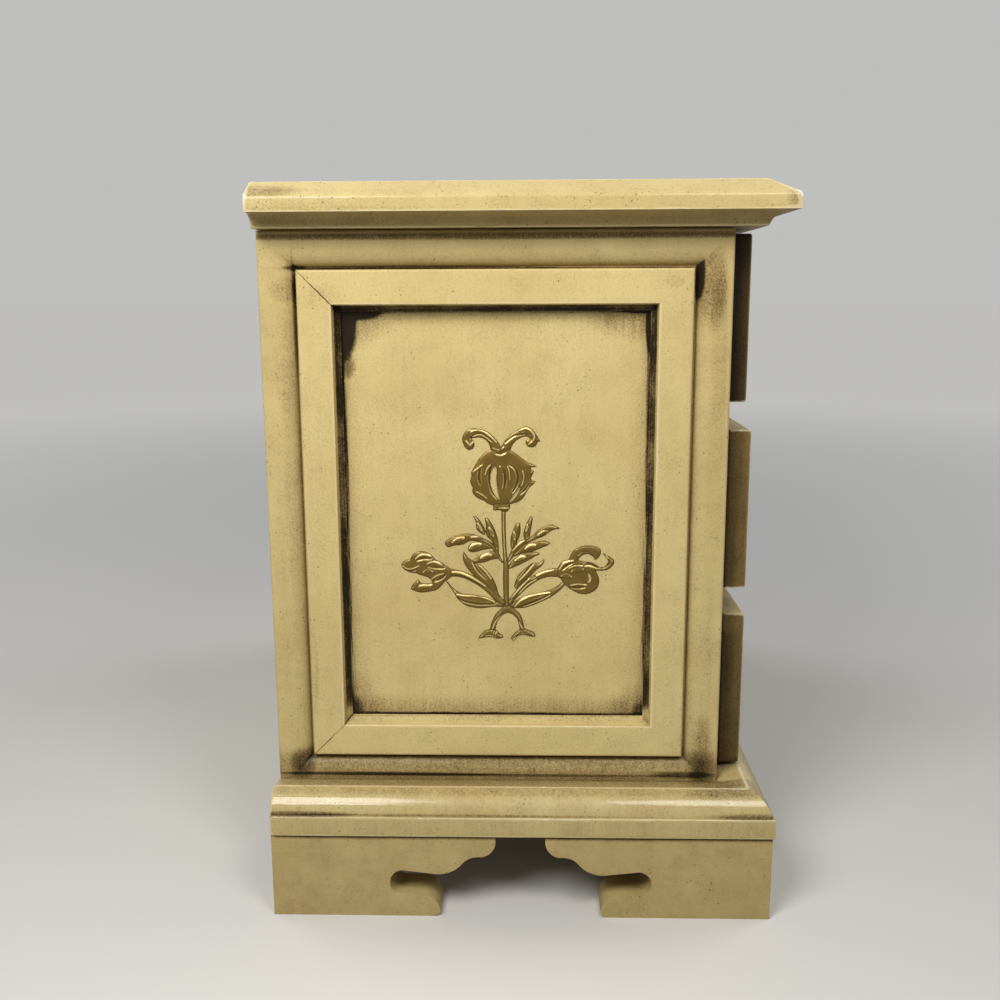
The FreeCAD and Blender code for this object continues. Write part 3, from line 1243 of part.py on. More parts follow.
# Outlines of the gilt flower spray, along the side and up from its own middle, drawn at full size
SPRAY = {
    "horn_left": ((-0.4, 24.1), (-1.8, 26), (-3.4, 27.6), (-5, 28.4), (-6.6, 28.7), (-8.3, 29),
        (-9.6, 28.4), (-10.7, 26.8), (-10.7, 25.2), (-9.9, 23.5), (-8.8, 23), (-7.7, 23.5),
        (-7.4, 24.9), (-8.3, 26.2), (-6.6, 26.5), (-5, 26.2), (-3.9, 25.2), (-3.4, 24.1), (-3.1, 22.7),
        (-0.7, 22.4)),
    "horn_right": ((-0.7, 22.4), (-0.4, 24.1), (0.7, 25.7), (2, 27.3), (3.4, 28.2), (4.7, 28.7),
        (6.1, 29.5), (7.4, 29), (8.5, 27.9), (9.3, 26.5), (10.1, 25.2), (9.3, 25.4), (9.1, 24.6),
        (8.3, 23.8), (6.9, 23.8), (6.1, 24.6), (6.1, 25.7), (7.2, 26.2), (6.4, 26.8), (5, 26.5),
        (3.7, 25.7), (2.6, 24.6), (2, 22.7)),
    "bud": ((-3.4, 23.3), (-4.7, 22.4), (-6.1, 21.1), (-7.2, 19.2), (-8, 17.8), (-8.5, 17),
        (-8.3, 15.9), (-8.8, 14.8), (-8.5, 13.7), (-8, 12.9), (-8.3, 11.8), (-7.4, 10.5), (-6.1, 9.7),
        (-5, 9.4), (-3.7, 8.3), (-2, 8), (0.4, 8), (2.6, 8.6), (4.2, 9.1), (5.3, 9.9), (6.4, 11.8),
        (7.2, 13.2), (8, 13.7), (8.8, 14.6), (7.7, 14.8), (7.4, 15.6), (8, 16.5), (8.3, 17.5),
        (7.7, 17.5), (7.4, 18.4), (9.1, 18.6), (7.7, 19.4), (6.1, 20), (4.5, 21.4), (3.1, 22.4),
        (1.5, 23.3), (-0.7, 23)),
    "calyx": ((-2.6, 8.6), (-2.6, 6.7), (-1.8, 6.7), (-0.9, 6.9), (0.1, 6.1), (1.2, 6.4), (2, 7.5),
        (1.8, 8.8), (-0.7, 8.8)),
    "stem": ((-0.4, 6.7), (-0.4, 1.2), (-0.1, -4.2), (0.1, -6.9), (-0.1, -12.4), (0.1, -17.8),
        (0.4, -20), (1.5, -20), (1.5, -17.8), (1.5, -12.4), (1.5, -8.3), (0.9, -4.8), (0.7, 1.2),
        (0.7, 6.7)),
    "leaf_a": ((-8, 5), (-7.4, 5.3), (-6.4, 4.2), (-5.3, 2.6), (-4.7, 1), (-5, -0.1), (-6.1, 0.4),
        (-7.2, 1.5), (-7.2, 2.9), (-7.4, 3.9)),
    "leaf_b": ((-5, 4.2), (-4.5, 4.8), (-3.7, 4.2), (-2.6, 2.3), (-1.8, 0.4), (-1.2, -2), (-1.2, -4.8),
        (-2, -3.9), (-2.8, -2), (-3.7, -1), (-4.5, -0.4), (-4.7, 1.2), (-4.5, 2.9)),
    "frond_left": ((0.1, -7.8), (-0.9, -5.8), (-1.5, -3.9), (-2.8, -2.3), (-4.2, -1.5), (-5.8, -0.7),
        (-7.7, 0.1), (-9.9, 0.4), (-12, 0.1), (-13.9, -0.7), (-15.3, -1.5), (-15.8, -2.3),
        (-15.3, -3.4), (-14.2, -3.4), (-13.4, -2.9), (-11.5, -2.9), (-10.1, -2.3), (-8.8, -1.5),
        (-6.9, -1.8), (-5, -2.3), (-3.7, -3.1), (-2.6, -4.2), (-1.8, -5.8), (-0.7, -7.5)),
    "leaf_c": ((-9.6, -3.9), (-9.1, -2.6), (-7.7, -2), (-5.8, -1.8), (-3.9, -2.3), (-2.6, -3.7),
        (-4.2, -3.9), (-5.8, -4.2), (-7.4, -4.8), (-9.1, -4.8)),
    "leaf_d": ((-8.5, -7.5), (-7.7, -6.7), (-6.4, -5.8), (-5, -5), (-3.7, -4.5), (-2, -4.5),
        (-0.9, -5.6), (-1.2, -6.7), (-2.6, -6.7), (-3.9, -7.2), (-5.8, -7.8), (-7.4, -7.8)),
    "leaf_e": ((3.7, 3.1), (4.5, 3.4), (4.7, 2.3), (4.7, 0.7), (4.2, -1.2), (3.1, -2.9), (2.3, -4.2),
        (2, -2.9), (2, -1), (2.6, 1), (3.1, 2.3)),
    "leaf_f": ((7.2, 4.8), (7.7, 5.3), (8, 4.5), (7.7, 2.6), (7.4, 1), (7.2, -0.7), (6.4, -1.5),
        (5.5, -1), (5.5, 0.7), (6.1, 2.6), (6.6, 3.7)),
    "frond_right": ((0.9, -7.5), (1.8, -5.3), (2.6, -3.4), (3.9, -2), (5.3, -1.5), (6.6, -1.2),
        (8.3, 0.1), (9.6, 1.5), (11.5, 2.6), (13.1, 2.9), (14.5, 2.3), (15.3, 1.8), (13.9, 1.5),
        (12.6, 1), (11, -0.4), (9.3, -1), (7.4, -1.8), (5.8, -2.6), (4.5, -3.9), (3.1, -5.3),
        (1.8, -7.5)),
    "leaf_g": ((2.3, -6.1), (3.4, -4.5), (4.7, -3.1), (6.6, -2.3), (9.1, -1.8), (11, -1.5),
        (12.9, -2.3), (11.5, -3.1), (9.6, -3.9), (7.7, -4.8), (5.5, -4.8), (3.7, -5.8)),
    "leaf_h": ((1.2, -9.4), (2, -7.5), (3.1, -6.7), (4.5, -5.6), (6.1, -4.8), (7.7, -4.8), (9.3, -4.8),
        (10.1, -5.3), (8.8, -5.8), (7.4, -6.7), (5.5, -7.8), (3.7, -8.6), (2, -9.4)),
    "lance_left": ((-10.7, -4.5), (-10.1, -5.6), (-9.1, -6.7), (-7.4, -7.8), (-5.5, -8.8),
        (-3.9, -10.5), (-2.6, -12.4), (-1.8, -14.3), (-1.5, -16.2), (0.1, -18.6), (-1.5, -17.8),
        (-2.8, -16.2), (-4.2, -14.6), (-6.1, -12.9), (-7.7, -11.6), (-9.3, -9.9), (-10.4, -8.3),
        (-11, -6.7)),
    "lance_right": ((11, -6.7), (11.2, -7.5), (10.4, -8.6), (8.8, -9.9), (7.2, -11.6), (5.3, -13.2),
        (3.7, -15.1), (2.8, -14.6), (3.4, -12.6), (4.2, -11), (5.5, -9.7), (6.9, -8.6), (8.3, -7.5),
        (9.1, -8), (10.1, -7.5)),
    "branch_left": ((-14.5, -9.4), (-12, -9.9), (-9.9, -10.5), (-7.7, -11.6), (-5.5, -12.9),
        (-3.4, -14.6), (-1.5, -16.5), (0.9, -18.9), (-0.1, -20), (-2.3, -18.4), (-4.2, -16.2),
        (-6.1, -14.6), (-8.3, -13.2), (-10.4, -12.1), (-12.6, -11.6), (-14.5, -11.6)),
    "branch_right": ((15.6, -9.1), (12.9, -9.4), (11, -9.9), (9.1, -10.7), (7.2, -11.8), (5.3, -13.5),
        (3.7, -15.1), (2, -17.3), (0.9, -18.9), (2, -19.7), (3.4, -17.8), (4.7, -16.5), (6.6, -14.6),
        (8.5, -13.2), (10.4, -12.1), (12.3, -11.6), (14.2, -11.6), (15.8, -11.8)),
    "blade_left": ((-15.8, -12.6), (-15, -13.2), (-13.9, -14.6), (-12.9, -15.6), (-11.2, -16.5),
        (-8.8, -16.7), (-6.4, -17), (-4.2, -17.5), (-2.3, -18.4), (0.4, -19.2), (-0.1, -20.3),
        (-2.8, -20), (-5, -20.5), (-7.4, -20.5), (-9.9, -20), (-11.5, -18.9), (-12.6, -17.8),
        (-13.4, -16.2), (-14.5, -14.6)),
    "blade_right": ((16.9, -13.5), (16.1, -14.8), (14.5, -16.2), (12.6, -17.5), (10.4, -18.6),
        (8, -19.7), (5.3, -20.5), (2.8, -20.5), (1.5, -19.7), (3.1, -18.6), (4.7, -17.5), (6.9, -16.7),
        (9.3, -16.2), (11.8, -15.6), (13.7, -14.8), (15, -14), (16.1, -12.9)),
    "arch": ((-3.7, -26.5), (-3.1, -24.1), (-2, -21.9), (-0.4, -20.5), (0.4, -19.7), (1.8, -19.7),
        (2.8, -20.5), (4.5, -21.9), (5.3, -23.8), (5.8, -26.5), (4.5, -26.8), (4.2, -24.9),
        (3.7, -23.3), (2.6, -22.2), (1.2, -21.6), (-0.4, -22.4), (-1.5, -23.8), (-2, -25.4),
        (-2.3, -26.8)),
    "foot_left": ((-3.9, -26.5), (-5, -26.8), (-6.1, -27.9), (-6.9, -29), (-6.4, -29.2), (-5, -28.7),
        (-3.1, -28.7), (-1.5, -29.2), (-0.1, -29), (-0.1, -28.2), (-1.2, -27.6), (-2, -26.5)),
    "foot_right": ((4.5, -26.5), (3.4, -27.3), (2.3, -28.4), (2, -29.2), (2.6, -29.8), (3.4, -29.2),
        (3.7, -28.4), (5, -27.9), (6.6, -28.2), (8, -28.7), (8.8, -28.4), (8.5, -27.3), (6.9, -26.8),
        (5.8, -26.2)),
    "flower_left": ((-27.7, -8.3), (-27.2, -7.5), (-26.1, -6.9), (-25, -6.7), (-24.8, -5.8),
        (-23.7, -4.8), (-22.3, -4.5), (-20.7, -4.8), (-19.3, -5.6), (-18.5, -6.9), (-16.9, -7.5),
        (-15.6, -8.6), (-13.9, -9.7), (-13.9, -11.6), (-15, -12.4), (-16.1, -13.2), (-16.9, -14.3),
        (-18, -15.4), (-20.2, -15.9), (-22.6, -16.2), (-24.5, -15.6), (-25.3, -15.1), (-24.8, -14),
        (-23.7, -12.9), (-23.1, -12.4), (-22.6, -13.5), (-21.2, -13.7), (-19.6, -13.7), (-19.3, -12.9),
        (-20.4, -11.8), (-22.3, -11.3), (-23.7, -10.7), (-25.3, -10.5), (-26.7, -9.9), (-27.5, -9.1)),
    "flower_right": ((14.5, -9.9), (15, -8.6), (16.1, -7.2), (17.7, -6.9), (18.3, -5.3), (19.3, -3.9),
        (21, -3.1), (22.9, -2.9), (24.8, -3.1), (26.4, -3.9), (26.4, -5.3), (25.6, -6.4), (24.8, -6.9),
        (24.2, -5.8), (22.6, -5), (21.2, -5.6), (20.2, -6.9), (21.8, -7.5), (23.4, -7.5), (24.8, -8),
        (25.8, -8.8), (26.9, -9.1), (28, -8.3), (28.5, -7.2), (28, -6.4), (27.2, -5.6), (26.9, -5),
        (28, -5.6), (29.4, -6.4), (30.2, -7.2), (29.6, -8.6), (28.3, -9.7), (26.7, -9.9), (25, -9.9),
        (25.6, -11), (26.1, -12.6), (25.8, -14.3), (24.8, -15.6), (22.9, -16.5), (21, -16.5),
        (19.1, -15.6), (17.5, -14.6), (16.4, -13.5), (15.6, -12.1), (14.5, -11.6)),
}

SPRAY_GAPS = {
    "bud_gap_wide": ((-2.3, 18.9), (-3.1, 17.5), (-3.4, 15.9), (-3.4, 14), (-2.8, 12.1), (-2, 10.5),
        (-0.7, 9.4), (-1.2, 11), (-1.5, 12.9), (-1.8, 15.4), (-1.5, 17.5), (-1.8, 18.6)),
    "bud_gap_thin": ((4.7, 13.7), (3.9, 12.4), (2.8, 11), (1.8, 9.4), (1.5, 8.8), (2.3, 9.1),
        (3.4, 10.2), (4.2, 11.6), (4.7, 12.9)),
    "flower_gap": ((22.3, -13.2), (23.1, -12.6), (23.1, -11.6), (22.6, -10.5), (23.4, -10.5),
        (23.9, -11.6), (23.9, -12.6), (23.4, -13.5)),
}


def add_ornament():
    """The gilt flower spray in low relief on each side panel."""

    def raised(name, corners, rise):
        body = new_body(name, FRONT, UP, "-half_width + overlay", "y_back - ornament_along", "ornament_up")
        steps = [(f"{along} * ornament_scale", f"{up} * ornament_scale") for along, up in corners]
        pad(body, outline(body, "XY_Plane", steps), rise)
        return body

    leaves = [raised(name, corners, "ornament_rise") for name, corners in SPRAY.items()]
    gaps = [raised(name, corners, "ornament_rise + 1") for name, corners in SPRAY_GAPS.items()]
    left = piece("ornament_left", cut("ornament_left", fuse("ornament_blank", leaves), gaps))
    piece("ornament_right", mirror("ornament_right", left))


add_side()
add_carcass()
add_fixed_front()
add_drawer("lower_drawer", 0, "bottom_top")
add_drawer("upper_drawer", 1, "lower_shelf_top")
add_base()
add_feet()
add_lid()
add_hinges()
add_compartment()
add_movement_cover()
add_bedplate()
add_spring_drive()
add_winding_key()
add_cylinder()
add_comb()
add_governor()
add_stop_lever()
add_movement_screws()
add_ornament()


def write_pieces():
    """Check every object, then write each piece to its own file."""
    doc.recompute()
    for item in doc.Objects:
        if "Invalid" in item.State or "Error" in item.State:
            owners = ", ".join(owner.Label for owner in item.InList)
            raise RuntimeError(f"{item.Name} of {owners} failed: {item.State}")
    for item in pieces:
        if item.Shape.isNull() or not item.Shape.isValid() or not item.Shape.Solids:
            raise RuntimeError(f"{item.Label} has no valid solid")
    os.makedirs("parts", exist_ok=True)
    for item in pieces:
        item.Shape.exportStep(os.path.join("parts", item.Label + ".step"))
    print(len(pieces), "pieces written")


write_pieces()
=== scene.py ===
"""Looks of the musical jewelry box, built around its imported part. Lengths are in metres, in the part's own
frame: X to the right, -Y to the front and Z up."""

import json
import math

import bmesh
import bpy
import numpy as np
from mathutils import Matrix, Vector, noise
from mathutils.bvhtree import BVHTree
from mathutils.kdtree import KDTree

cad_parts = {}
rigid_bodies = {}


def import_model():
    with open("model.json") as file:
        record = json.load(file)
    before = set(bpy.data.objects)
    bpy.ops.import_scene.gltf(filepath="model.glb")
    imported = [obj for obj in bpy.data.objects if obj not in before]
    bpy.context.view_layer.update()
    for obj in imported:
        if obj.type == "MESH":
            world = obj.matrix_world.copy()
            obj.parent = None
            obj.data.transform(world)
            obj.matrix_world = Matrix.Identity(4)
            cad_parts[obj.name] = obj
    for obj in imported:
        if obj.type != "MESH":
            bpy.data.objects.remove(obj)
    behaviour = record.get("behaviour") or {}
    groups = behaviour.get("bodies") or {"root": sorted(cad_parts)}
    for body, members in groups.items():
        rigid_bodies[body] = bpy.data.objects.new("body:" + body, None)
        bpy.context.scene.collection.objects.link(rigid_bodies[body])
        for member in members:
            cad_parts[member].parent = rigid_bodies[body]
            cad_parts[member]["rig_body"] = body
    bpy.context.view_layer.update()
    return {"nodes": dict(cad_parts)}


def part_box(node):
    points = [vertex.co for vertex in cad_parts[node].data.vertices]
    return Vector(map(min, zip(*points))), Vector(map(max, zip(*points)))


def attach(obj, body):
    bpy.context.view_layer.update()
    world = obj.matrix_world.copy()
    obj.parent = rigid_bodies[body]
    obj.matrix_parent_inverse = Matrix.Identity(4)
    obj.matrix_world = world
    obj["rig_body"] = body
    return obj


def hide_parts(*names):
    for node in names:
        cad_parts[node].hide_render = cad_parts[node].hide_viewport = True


MM = 0.001

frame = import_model()
nodes = frame["nodes"]


# Shader maths: an expression on values adds the Math nodes it needs.


class Value:
    """A number or colour that a finish works out, as the socket that carries it."""

    def __init__(self, finish, socket):
        self.finish = finish
        self.socket = socket

    def maths(self, operation, *others):
        return self.finish.add("ShaderNodeMath", {"operation": operation}, dict(enumerate((self, *others))))

    def __add__(self, other):
        return self.maths("ADD", other)

    def __sub__(self, other):
        return self.maths("SUBTRACT", other)

    def __mul__(self, other):
        return self.maths("MULTIPLY", other)

    def __truediv__(self, other):
        return self.maths("DIVIDE", other)

    def __pow__(self, other):
        return self.maths("POWER", other)

    def __rsub__(self, other):
        return self.finish.add("ShaderNodeMath", {"operation": "SUBTRACT"}, {0: other, 1: self})

    __radd__ = __add__
    __rmul__ = __mul__

    def most(self, other):
        return self.maths("MAXIMUM", other)

    def least(self, other):
        return self.maths("MINIMUM", other)

    def size(self):
        return self.maths("ABSOLUTE")

    def step(self, low, high):
        """Rises smoothly from 0 at low to 1 at high."""
        return self.finish.add("ShaderNodeMapRange", {"interpolation_type": "SMOOTHSTEP"},
                               {"Value": self, "From Min": low, "From Max": high})


class Finish:
    """One finish while it is made: a material and its nodes."""

    def __init__(self, name):
        self.material = bpy.data.materials.new(name)
        self.material.use_nodes = True
        self.tree = self.material.node_tree
        self.tree.nodes.clear()
        self.place = self.add("ShaderNodeVectorMath", {"operation": "SCALE"},
                              {0: self.add("ShaderNodeTexCoord", output="Object"), "Scale": 1 / MM})
        self.out = self.add("ShaderNodeSeparateXYZ", {}, {0: self.place}, "X").size()
        self.along = self.add("ShaderNodeSeparateXYZ", {}, {0: self.place}, "Y")
        self.up = self.add("ShaderNodeSeparateXYZ", {}, {0: self.place}, "Z")

    def add(self, kind, settings=(), inputs=(), output=0):
        """Adds a node: its settings first, then the values or links of its sockets."""
        node = self.tree.nodes.new(kind)
        for key, value in dict(settings).items():
            if key == "stops":
                while len(node.color_ramp.elements) < len(value):
                    node.color_ramp.elements.new(1)
                for element, (position, colour) in zip(node.color_ramp.elements, value):
                    element.position, element.color = position, (*colour, 1)
            else:
                setattr(node, key, value)
        for key, value in dict(inputs).items():
            if isinstance(value, Value):
                self.tree.links.new(value.socket, node.inputs[key])
            elif isinstance(value, tuple) and len(value) == 3 and node.inputs[key].type == "RGBA":
                node.inputs[key].default_value = (*value, 1)
            else:
                node.inputs[key].default_value = value
        return Value(self, node.outputs[output])

    def stretched(self, across, along, up):
        """The place with each direction divided by its own size in millimetres."""
        return self.add("ShaderNodeVectorMath", {"operation": "DIVIDE"},
                        {0: self.place, 1: (across, along, up)})

    def noise(self, size, detail=3.0, roughness=0.5, place=None, distortion=0.0):
        return self.add("ShaderNodeTexNoise", {}, {
            "Vector": place or self.place, "Scale": 1 / size, "Detail": detail, "Roughness": roughness,
            "Distortion": distortion})

    def dots(self, size, place=None):
        """Distance to the nearest of many scattered points, in shares of size."""
        return self.add("ShaderNodeTexVoronoi", {"feature": "F1"},
                        {"Vector": place or self.place, "Scale": 1 / size}, "Distance")

    def mark(self, name):
        """A mark that the mesh carries at its points."""
        return self.add("ShaderNodeAttribute", {"attribute_name": name}, output="Fac")

    def mix(self, share, first, second, blend="MIX"):
        return self.add("ShaderNodeMix", {"data_type": "RGBA", "blend_type": blend},
                        {0: share, 6: first, 7: second}, 2)

    def bump(self, height, depth, under=None):
        """A relief of that depth in millimetres."""
        inputs = {"Height": height, "Distance": depth * MM, "Strength": 1.0}
        if under is not None:
            inputs["Normal"] = under
        return self.add("ShaderNodeBump", {}, inputs)

    def done(self, **sockets):
        shader = self.add("ShaderNodeBsdfPrincipled", {}, {
            name.replace("_", " "): value for name, value in sockets.items()})
        output = self.tree.nodes.new("ShaderNodeOutputMaterial")
        self.tree.links.new(shader.socket, output.inputs["Surface"])
        return self.material


# Finishes, with colours as light, in shares of red, green and blue.

CREAM = (0.665, 0.54, 0.25)
CREAM_DEEP = (0.57, 0.445, 0.19)
CREAM_WORN = (0.76, 0.64, 0.38)
GESSO = (0.74, 0.69, 0.56)
# The umber wash darkens the paint for glaze and tone, and for the painted shade that the marks carry.
UMBER_WASH_AND_SHADE = (0.23, 0.15, 0.052)
UMBER = (0.011, 0.006, 0.002)

# Openings and outlines seen from the side, in millimetres: y from and to, then z from and to.
FRAME_OUTLINE = (-49.8, 51.8, 40.6, 172.3)
FRAME_FACE_INNER = (-40.9, 42.9, 49.5, 163.4)
PANEL_OPENING = (-39.5, 41.5, 50.9, 162.0)

# The frame's mitres show from this y on, towards the back, and its cove is darker from this z up.
SEAMS_FROM = 36
COVE_DARK_FROM = 52


def beside(f, window):
    """How far a place is outside a window across and up, less than 0 within."""
    left, right, low, high = window
    return ((f.along - (left + right) / 2).size() - (right - left) / 2,
            (f.up - (low + high) / 2).size() - (high - low) / 2)


def outside(f, window):
    """How far a place lies outside a window, less than 0 within."""
    across, above = beside(f, window)
    return across.most(above)


class Paint(Finish):
    """Cream paint while it is made, with the textures and marks that its layers share."""

    def __init__(self, name, stroke, mitred):
        super().__init__(name)
        self.glaze, self.wear, self.tone = self.mark("glaze"), self.mark("wear"), self.mark("tone")
        self.cloud, self.patch = self.noise(30, 4, 0.55), self.noise(7, 5, 0.6)
        self.grit, self.fine = self.noise(1.1, 4, 0.65), self.noise(0.5, 2, 0.7)
        self.streak = self.noise(13, 2)
        self.brush = self.brush_strokes(stroke, mitred)
        self.ragged = (self.patch - 0.5) * 1.6 + (self.grit - 0.5) * 0.9 + (self.brush - 0.5) * 0.7

    def brush_strokes(self, stroke, mitred):
        """Strokes that lie level or stand upright: as the mesh marks them, or as a mitred frame runs."""
        upright = self.mark("upright")
        if mitred:
            across, above = beside(self, FRAME_OUTLINE)
            upright = (across - above).step(-0.15, 0.15)
        level = self.noise(1, 5, 0.7, self.stretched(stroke, 16 * stroke, stroke))
        standing = self.noise(1, 5, 0.7, self.stretched(stroke, stroke, 16 * stroke))
        return level + (standing - level) * upright


# Blotches of dark glaze on the sides: middle along and up, reach along and up, and strength.
PANEL_SPOTS = (
    (-39.2, 157.5, 0.8, 5, 1.2), (-37.5, 161.6, 3.4, 0.5, 0.8), (-39.3, 139, 0.6, 8, 0.5),
    (-39.3, 122, 0.5, 9, 0.4), (-34.0, 159.0, 7.0, 3.6, 0.24), (40.2, 157.8, 2.0, 5.4, 1.3),
    (38.4, 161.0, 5.0, 1.1, 0.9), (37.5, 158.0, 6.0, 4.0, 0.24), (39.8, 147.5, 1.4, 2.2, 0.4),
    (41.2, 124, 0.6, 18, 0.5), (-38.8, 52.4, 1.6, 1.6, 0.3), (-37.5, 53.5, 5.0, 4.5, 0.2),
    (40.4, 52.4, 1.4, 2.6, 0.36), (39, 54, 4, 6, 0.18), (-39.4, 74, 0.5, 10, 0.35), (41.4, 84, 0.5, 9, 0.3),
    (4, 51.1, 34, 0.4, 0.4), (0, 53, 60, 2.6, 0.12))
RIM_SPOTS = (
    (55.0, 167.5, 3.4, 2.4, 0.28), (52.4, 172.8, 2.0, 0.6, 0.5), (52.6, 163, 0.4, 12, 0.4),
    (55.5, 150, 2.0, 12, 0.16), (55, 38.5, 2.4, 3.4, 0.34), (34, 35.2, 22, 0.4, 0.45),
    (-8, 35.0, 30, 0.3, 0.25), (-50, 35.4, 6, 0.7, 0.35), (-55.5, 40, 2.5, 9, 0.3),
    (24, 172.8, 26, 0.35, 0.45), (0, 37.5, 80, 3.6, 0.42), (-57, 120, 1.5, 40, 0.12), (57, 90, 2, 40, 0.1),
    (0, 180.4, 80, 0.7, 0.6), (-54.5, 62, 2.2, 22, 0.16), (-56.5, 150, 2.0, 14, 0.14),
    (54.5, 120, 1.6, 26, 0.12))
RIM_PATCHES = ((-51.0, 170.5, 0.9, 4.2, 0.9), (-54.0, 168.0, 3.0, 8.0, 0.46))
FRAME_SPOTS = (
    (44.5, 165.5, 3.5, 3.0, 0.16), (50.8, 66, 1.0, 10, 0.25), (-48, 44, 3, 3, 0.12),
    (47, 100, 1.5, 22, 0.08), (-44.6, 169, 2.2, 1.6, 0.22))
LID_SPOTS = (
    (60, 191.0, 9, 1.3, 0.34), (30, 190.5, 30, 1.2, 0.1), (46, 184.5, 26, 2.6, 0.26),
    (-73.0, 188.5, 2.4, 2.6, 0.4))
BASE_SPOTS = (
    (54, 29.5, 10, 0.6, 0.55), (-67, 29.5, 8, 0.6, 0.5), (0, 34.6, 80, 0.8, 0.3), (10, 29.3, 30, 0.3, 0.3),
    (-60, 33.5, 8, 1.5, 0.22), (28, 26.5, 6, 2.2, 0.12))


def run_of_glaze(distance, ragged, width, strength):
    """A ragged line of glaze, dark at distance 0 and gone at its width."""
    return (1 - (distance + ragged * width).step(0.0, width)) * strength


def spot_of_glaze(f, spot):
    """A ragged blotch: its middle along and up, its reach along and up, and its strength."""
    along, up, wide, tall, strength = spot
    away = ((f.along - along) / wide) ** 2 + ((f.up - up) / tall) ** 2
    return (1 - (away + f.ragged * 0.9).step(0.1, 3.2)) * strength


def glaze_in_opening(f, opening):
    """Darkening along the inside of an opening: broken lines of glaze at its edges, and a faint wide band."""
    across, above = beside(f, opening)
    level = f.noise(1, 4, 0.6, f.stretched(1, 11, 0.4))
    standing = f.noise(1, 4, 0.6, f.stretched(1, 0.4, 11))
    lines = run_of_glaze(0 - above, f.ragged, 1.0, 1.1) * level.step(0.36, 0.6) * (f.streak * 1.1 + 0.25)
    lines = lines + run_of_glaze(0 - across, f.ragged * 0.6, 1.6, 0.65) * standing.step(0.46, 0.6)
    return lines + run_of_glaze(0 - across.most(above), f.ragged * 0.6, 9.0, 0.25)


def glaze_around(f, outline):
    """Darkening against the outside of a raised outline: a broken line of glaze and a faint band."""
    away = outside(f, outline)
    line = run_of_glaze(away, f.ragged, 0.5, 0.8) * (f.streak * 4 - 1.4).most(0.2).least(1)
    return line + run_of_glaze(away, f.ragged, 5.0, 0.09)


def below_mitre(f):
    """1 on the rim's front run and 0 past its mitre with the upper run."""
    front, _, _, top = FRAME_OUTLINE
    return (0 - f.along - f.up + (front + top)).step(-0.4, 0.6)


def mitre_seams(f):
    """The dark seams of the frame's two mitres at the back."""
    _, back, bottom, top = FRAME_OUTLINE
    upper = (f.along - f.up + (top - back)).size()
    lower = (f.along + f.up - (back + bottom)).size()
    seams = 1 - upper.least(lower).step(0.08, 0.32)
    return seams * (f.along - SEAMS_FROM).step(0, 2) * (f.patch * 1.2 + 0.2).least(1)


def cream_paint(f, brushed):
    """The paint itself: mottled cream with brush marks, darker where the tone mark says so, which also
    carries painted shade.
    """
    paint = f.mix((f.cloud - 0.5) * 2.2 + 0.45, CREAM, CREAM_DEEP)
    uneven = (f.patch - 0.5) * 0.5 + (f.brush - 0.5) * brushed + (f.grit - 0.5) * 0.4 + (f.fine - 0.5) * 0.9
    paint = f.mix(uneven + 0.05, paint, UMBER_WASH_AND_SHADE)
    return f.mix((f.tone * (0.9 + (f.patch - 0.5) * 0.9)).least(1), paint, UMBER_WASH_AND_SHADE)


def glazed_and_shaded(f, paint, darkening):
    """Glaze laid over the paint, and painted shade with it where the marks carry it: a wash where it is thin,
    and nearly black where it is thick.
    """
    grain = (f.fine - 0.5) * 0.9 + (f.grit - 0.5) * 0.5 + (f.brush - 0.5) * 0.7
    broken = ((f.patch - 0.5) * 0.4 + grain * 0.8) * (darkening * 2.2 + 0.16).least(1)
    darkening = darkening + broken * (1.2 - f.tone).most(0.3)
    paint = f.mix(darkening.step(0.03, 0.62) * 0.8, paint, UMBER_WASH_AND_SHADE)
    return f.mix(darkening.step(0.34, 1.0) * 0.97, paint, UMBER)


def speckled(f, paint, specks):
    """Dark flecks and pinholes, in groups."""
    flecks = (1 - f.dots(1.5).step(0.06, 0.2)) * f.noise(6, 3).step(0.56 - specks * 0.12, 0.66)
    pinholes = (1 - f.dots(0.75).step(0.1, 0.26)) * f.noise(9, 3).step(0.62 - specks * 0.14, 0.72)
    return f.mix(flecks.most(pinholes * 0.8) * 0.75, paint, UMBER)


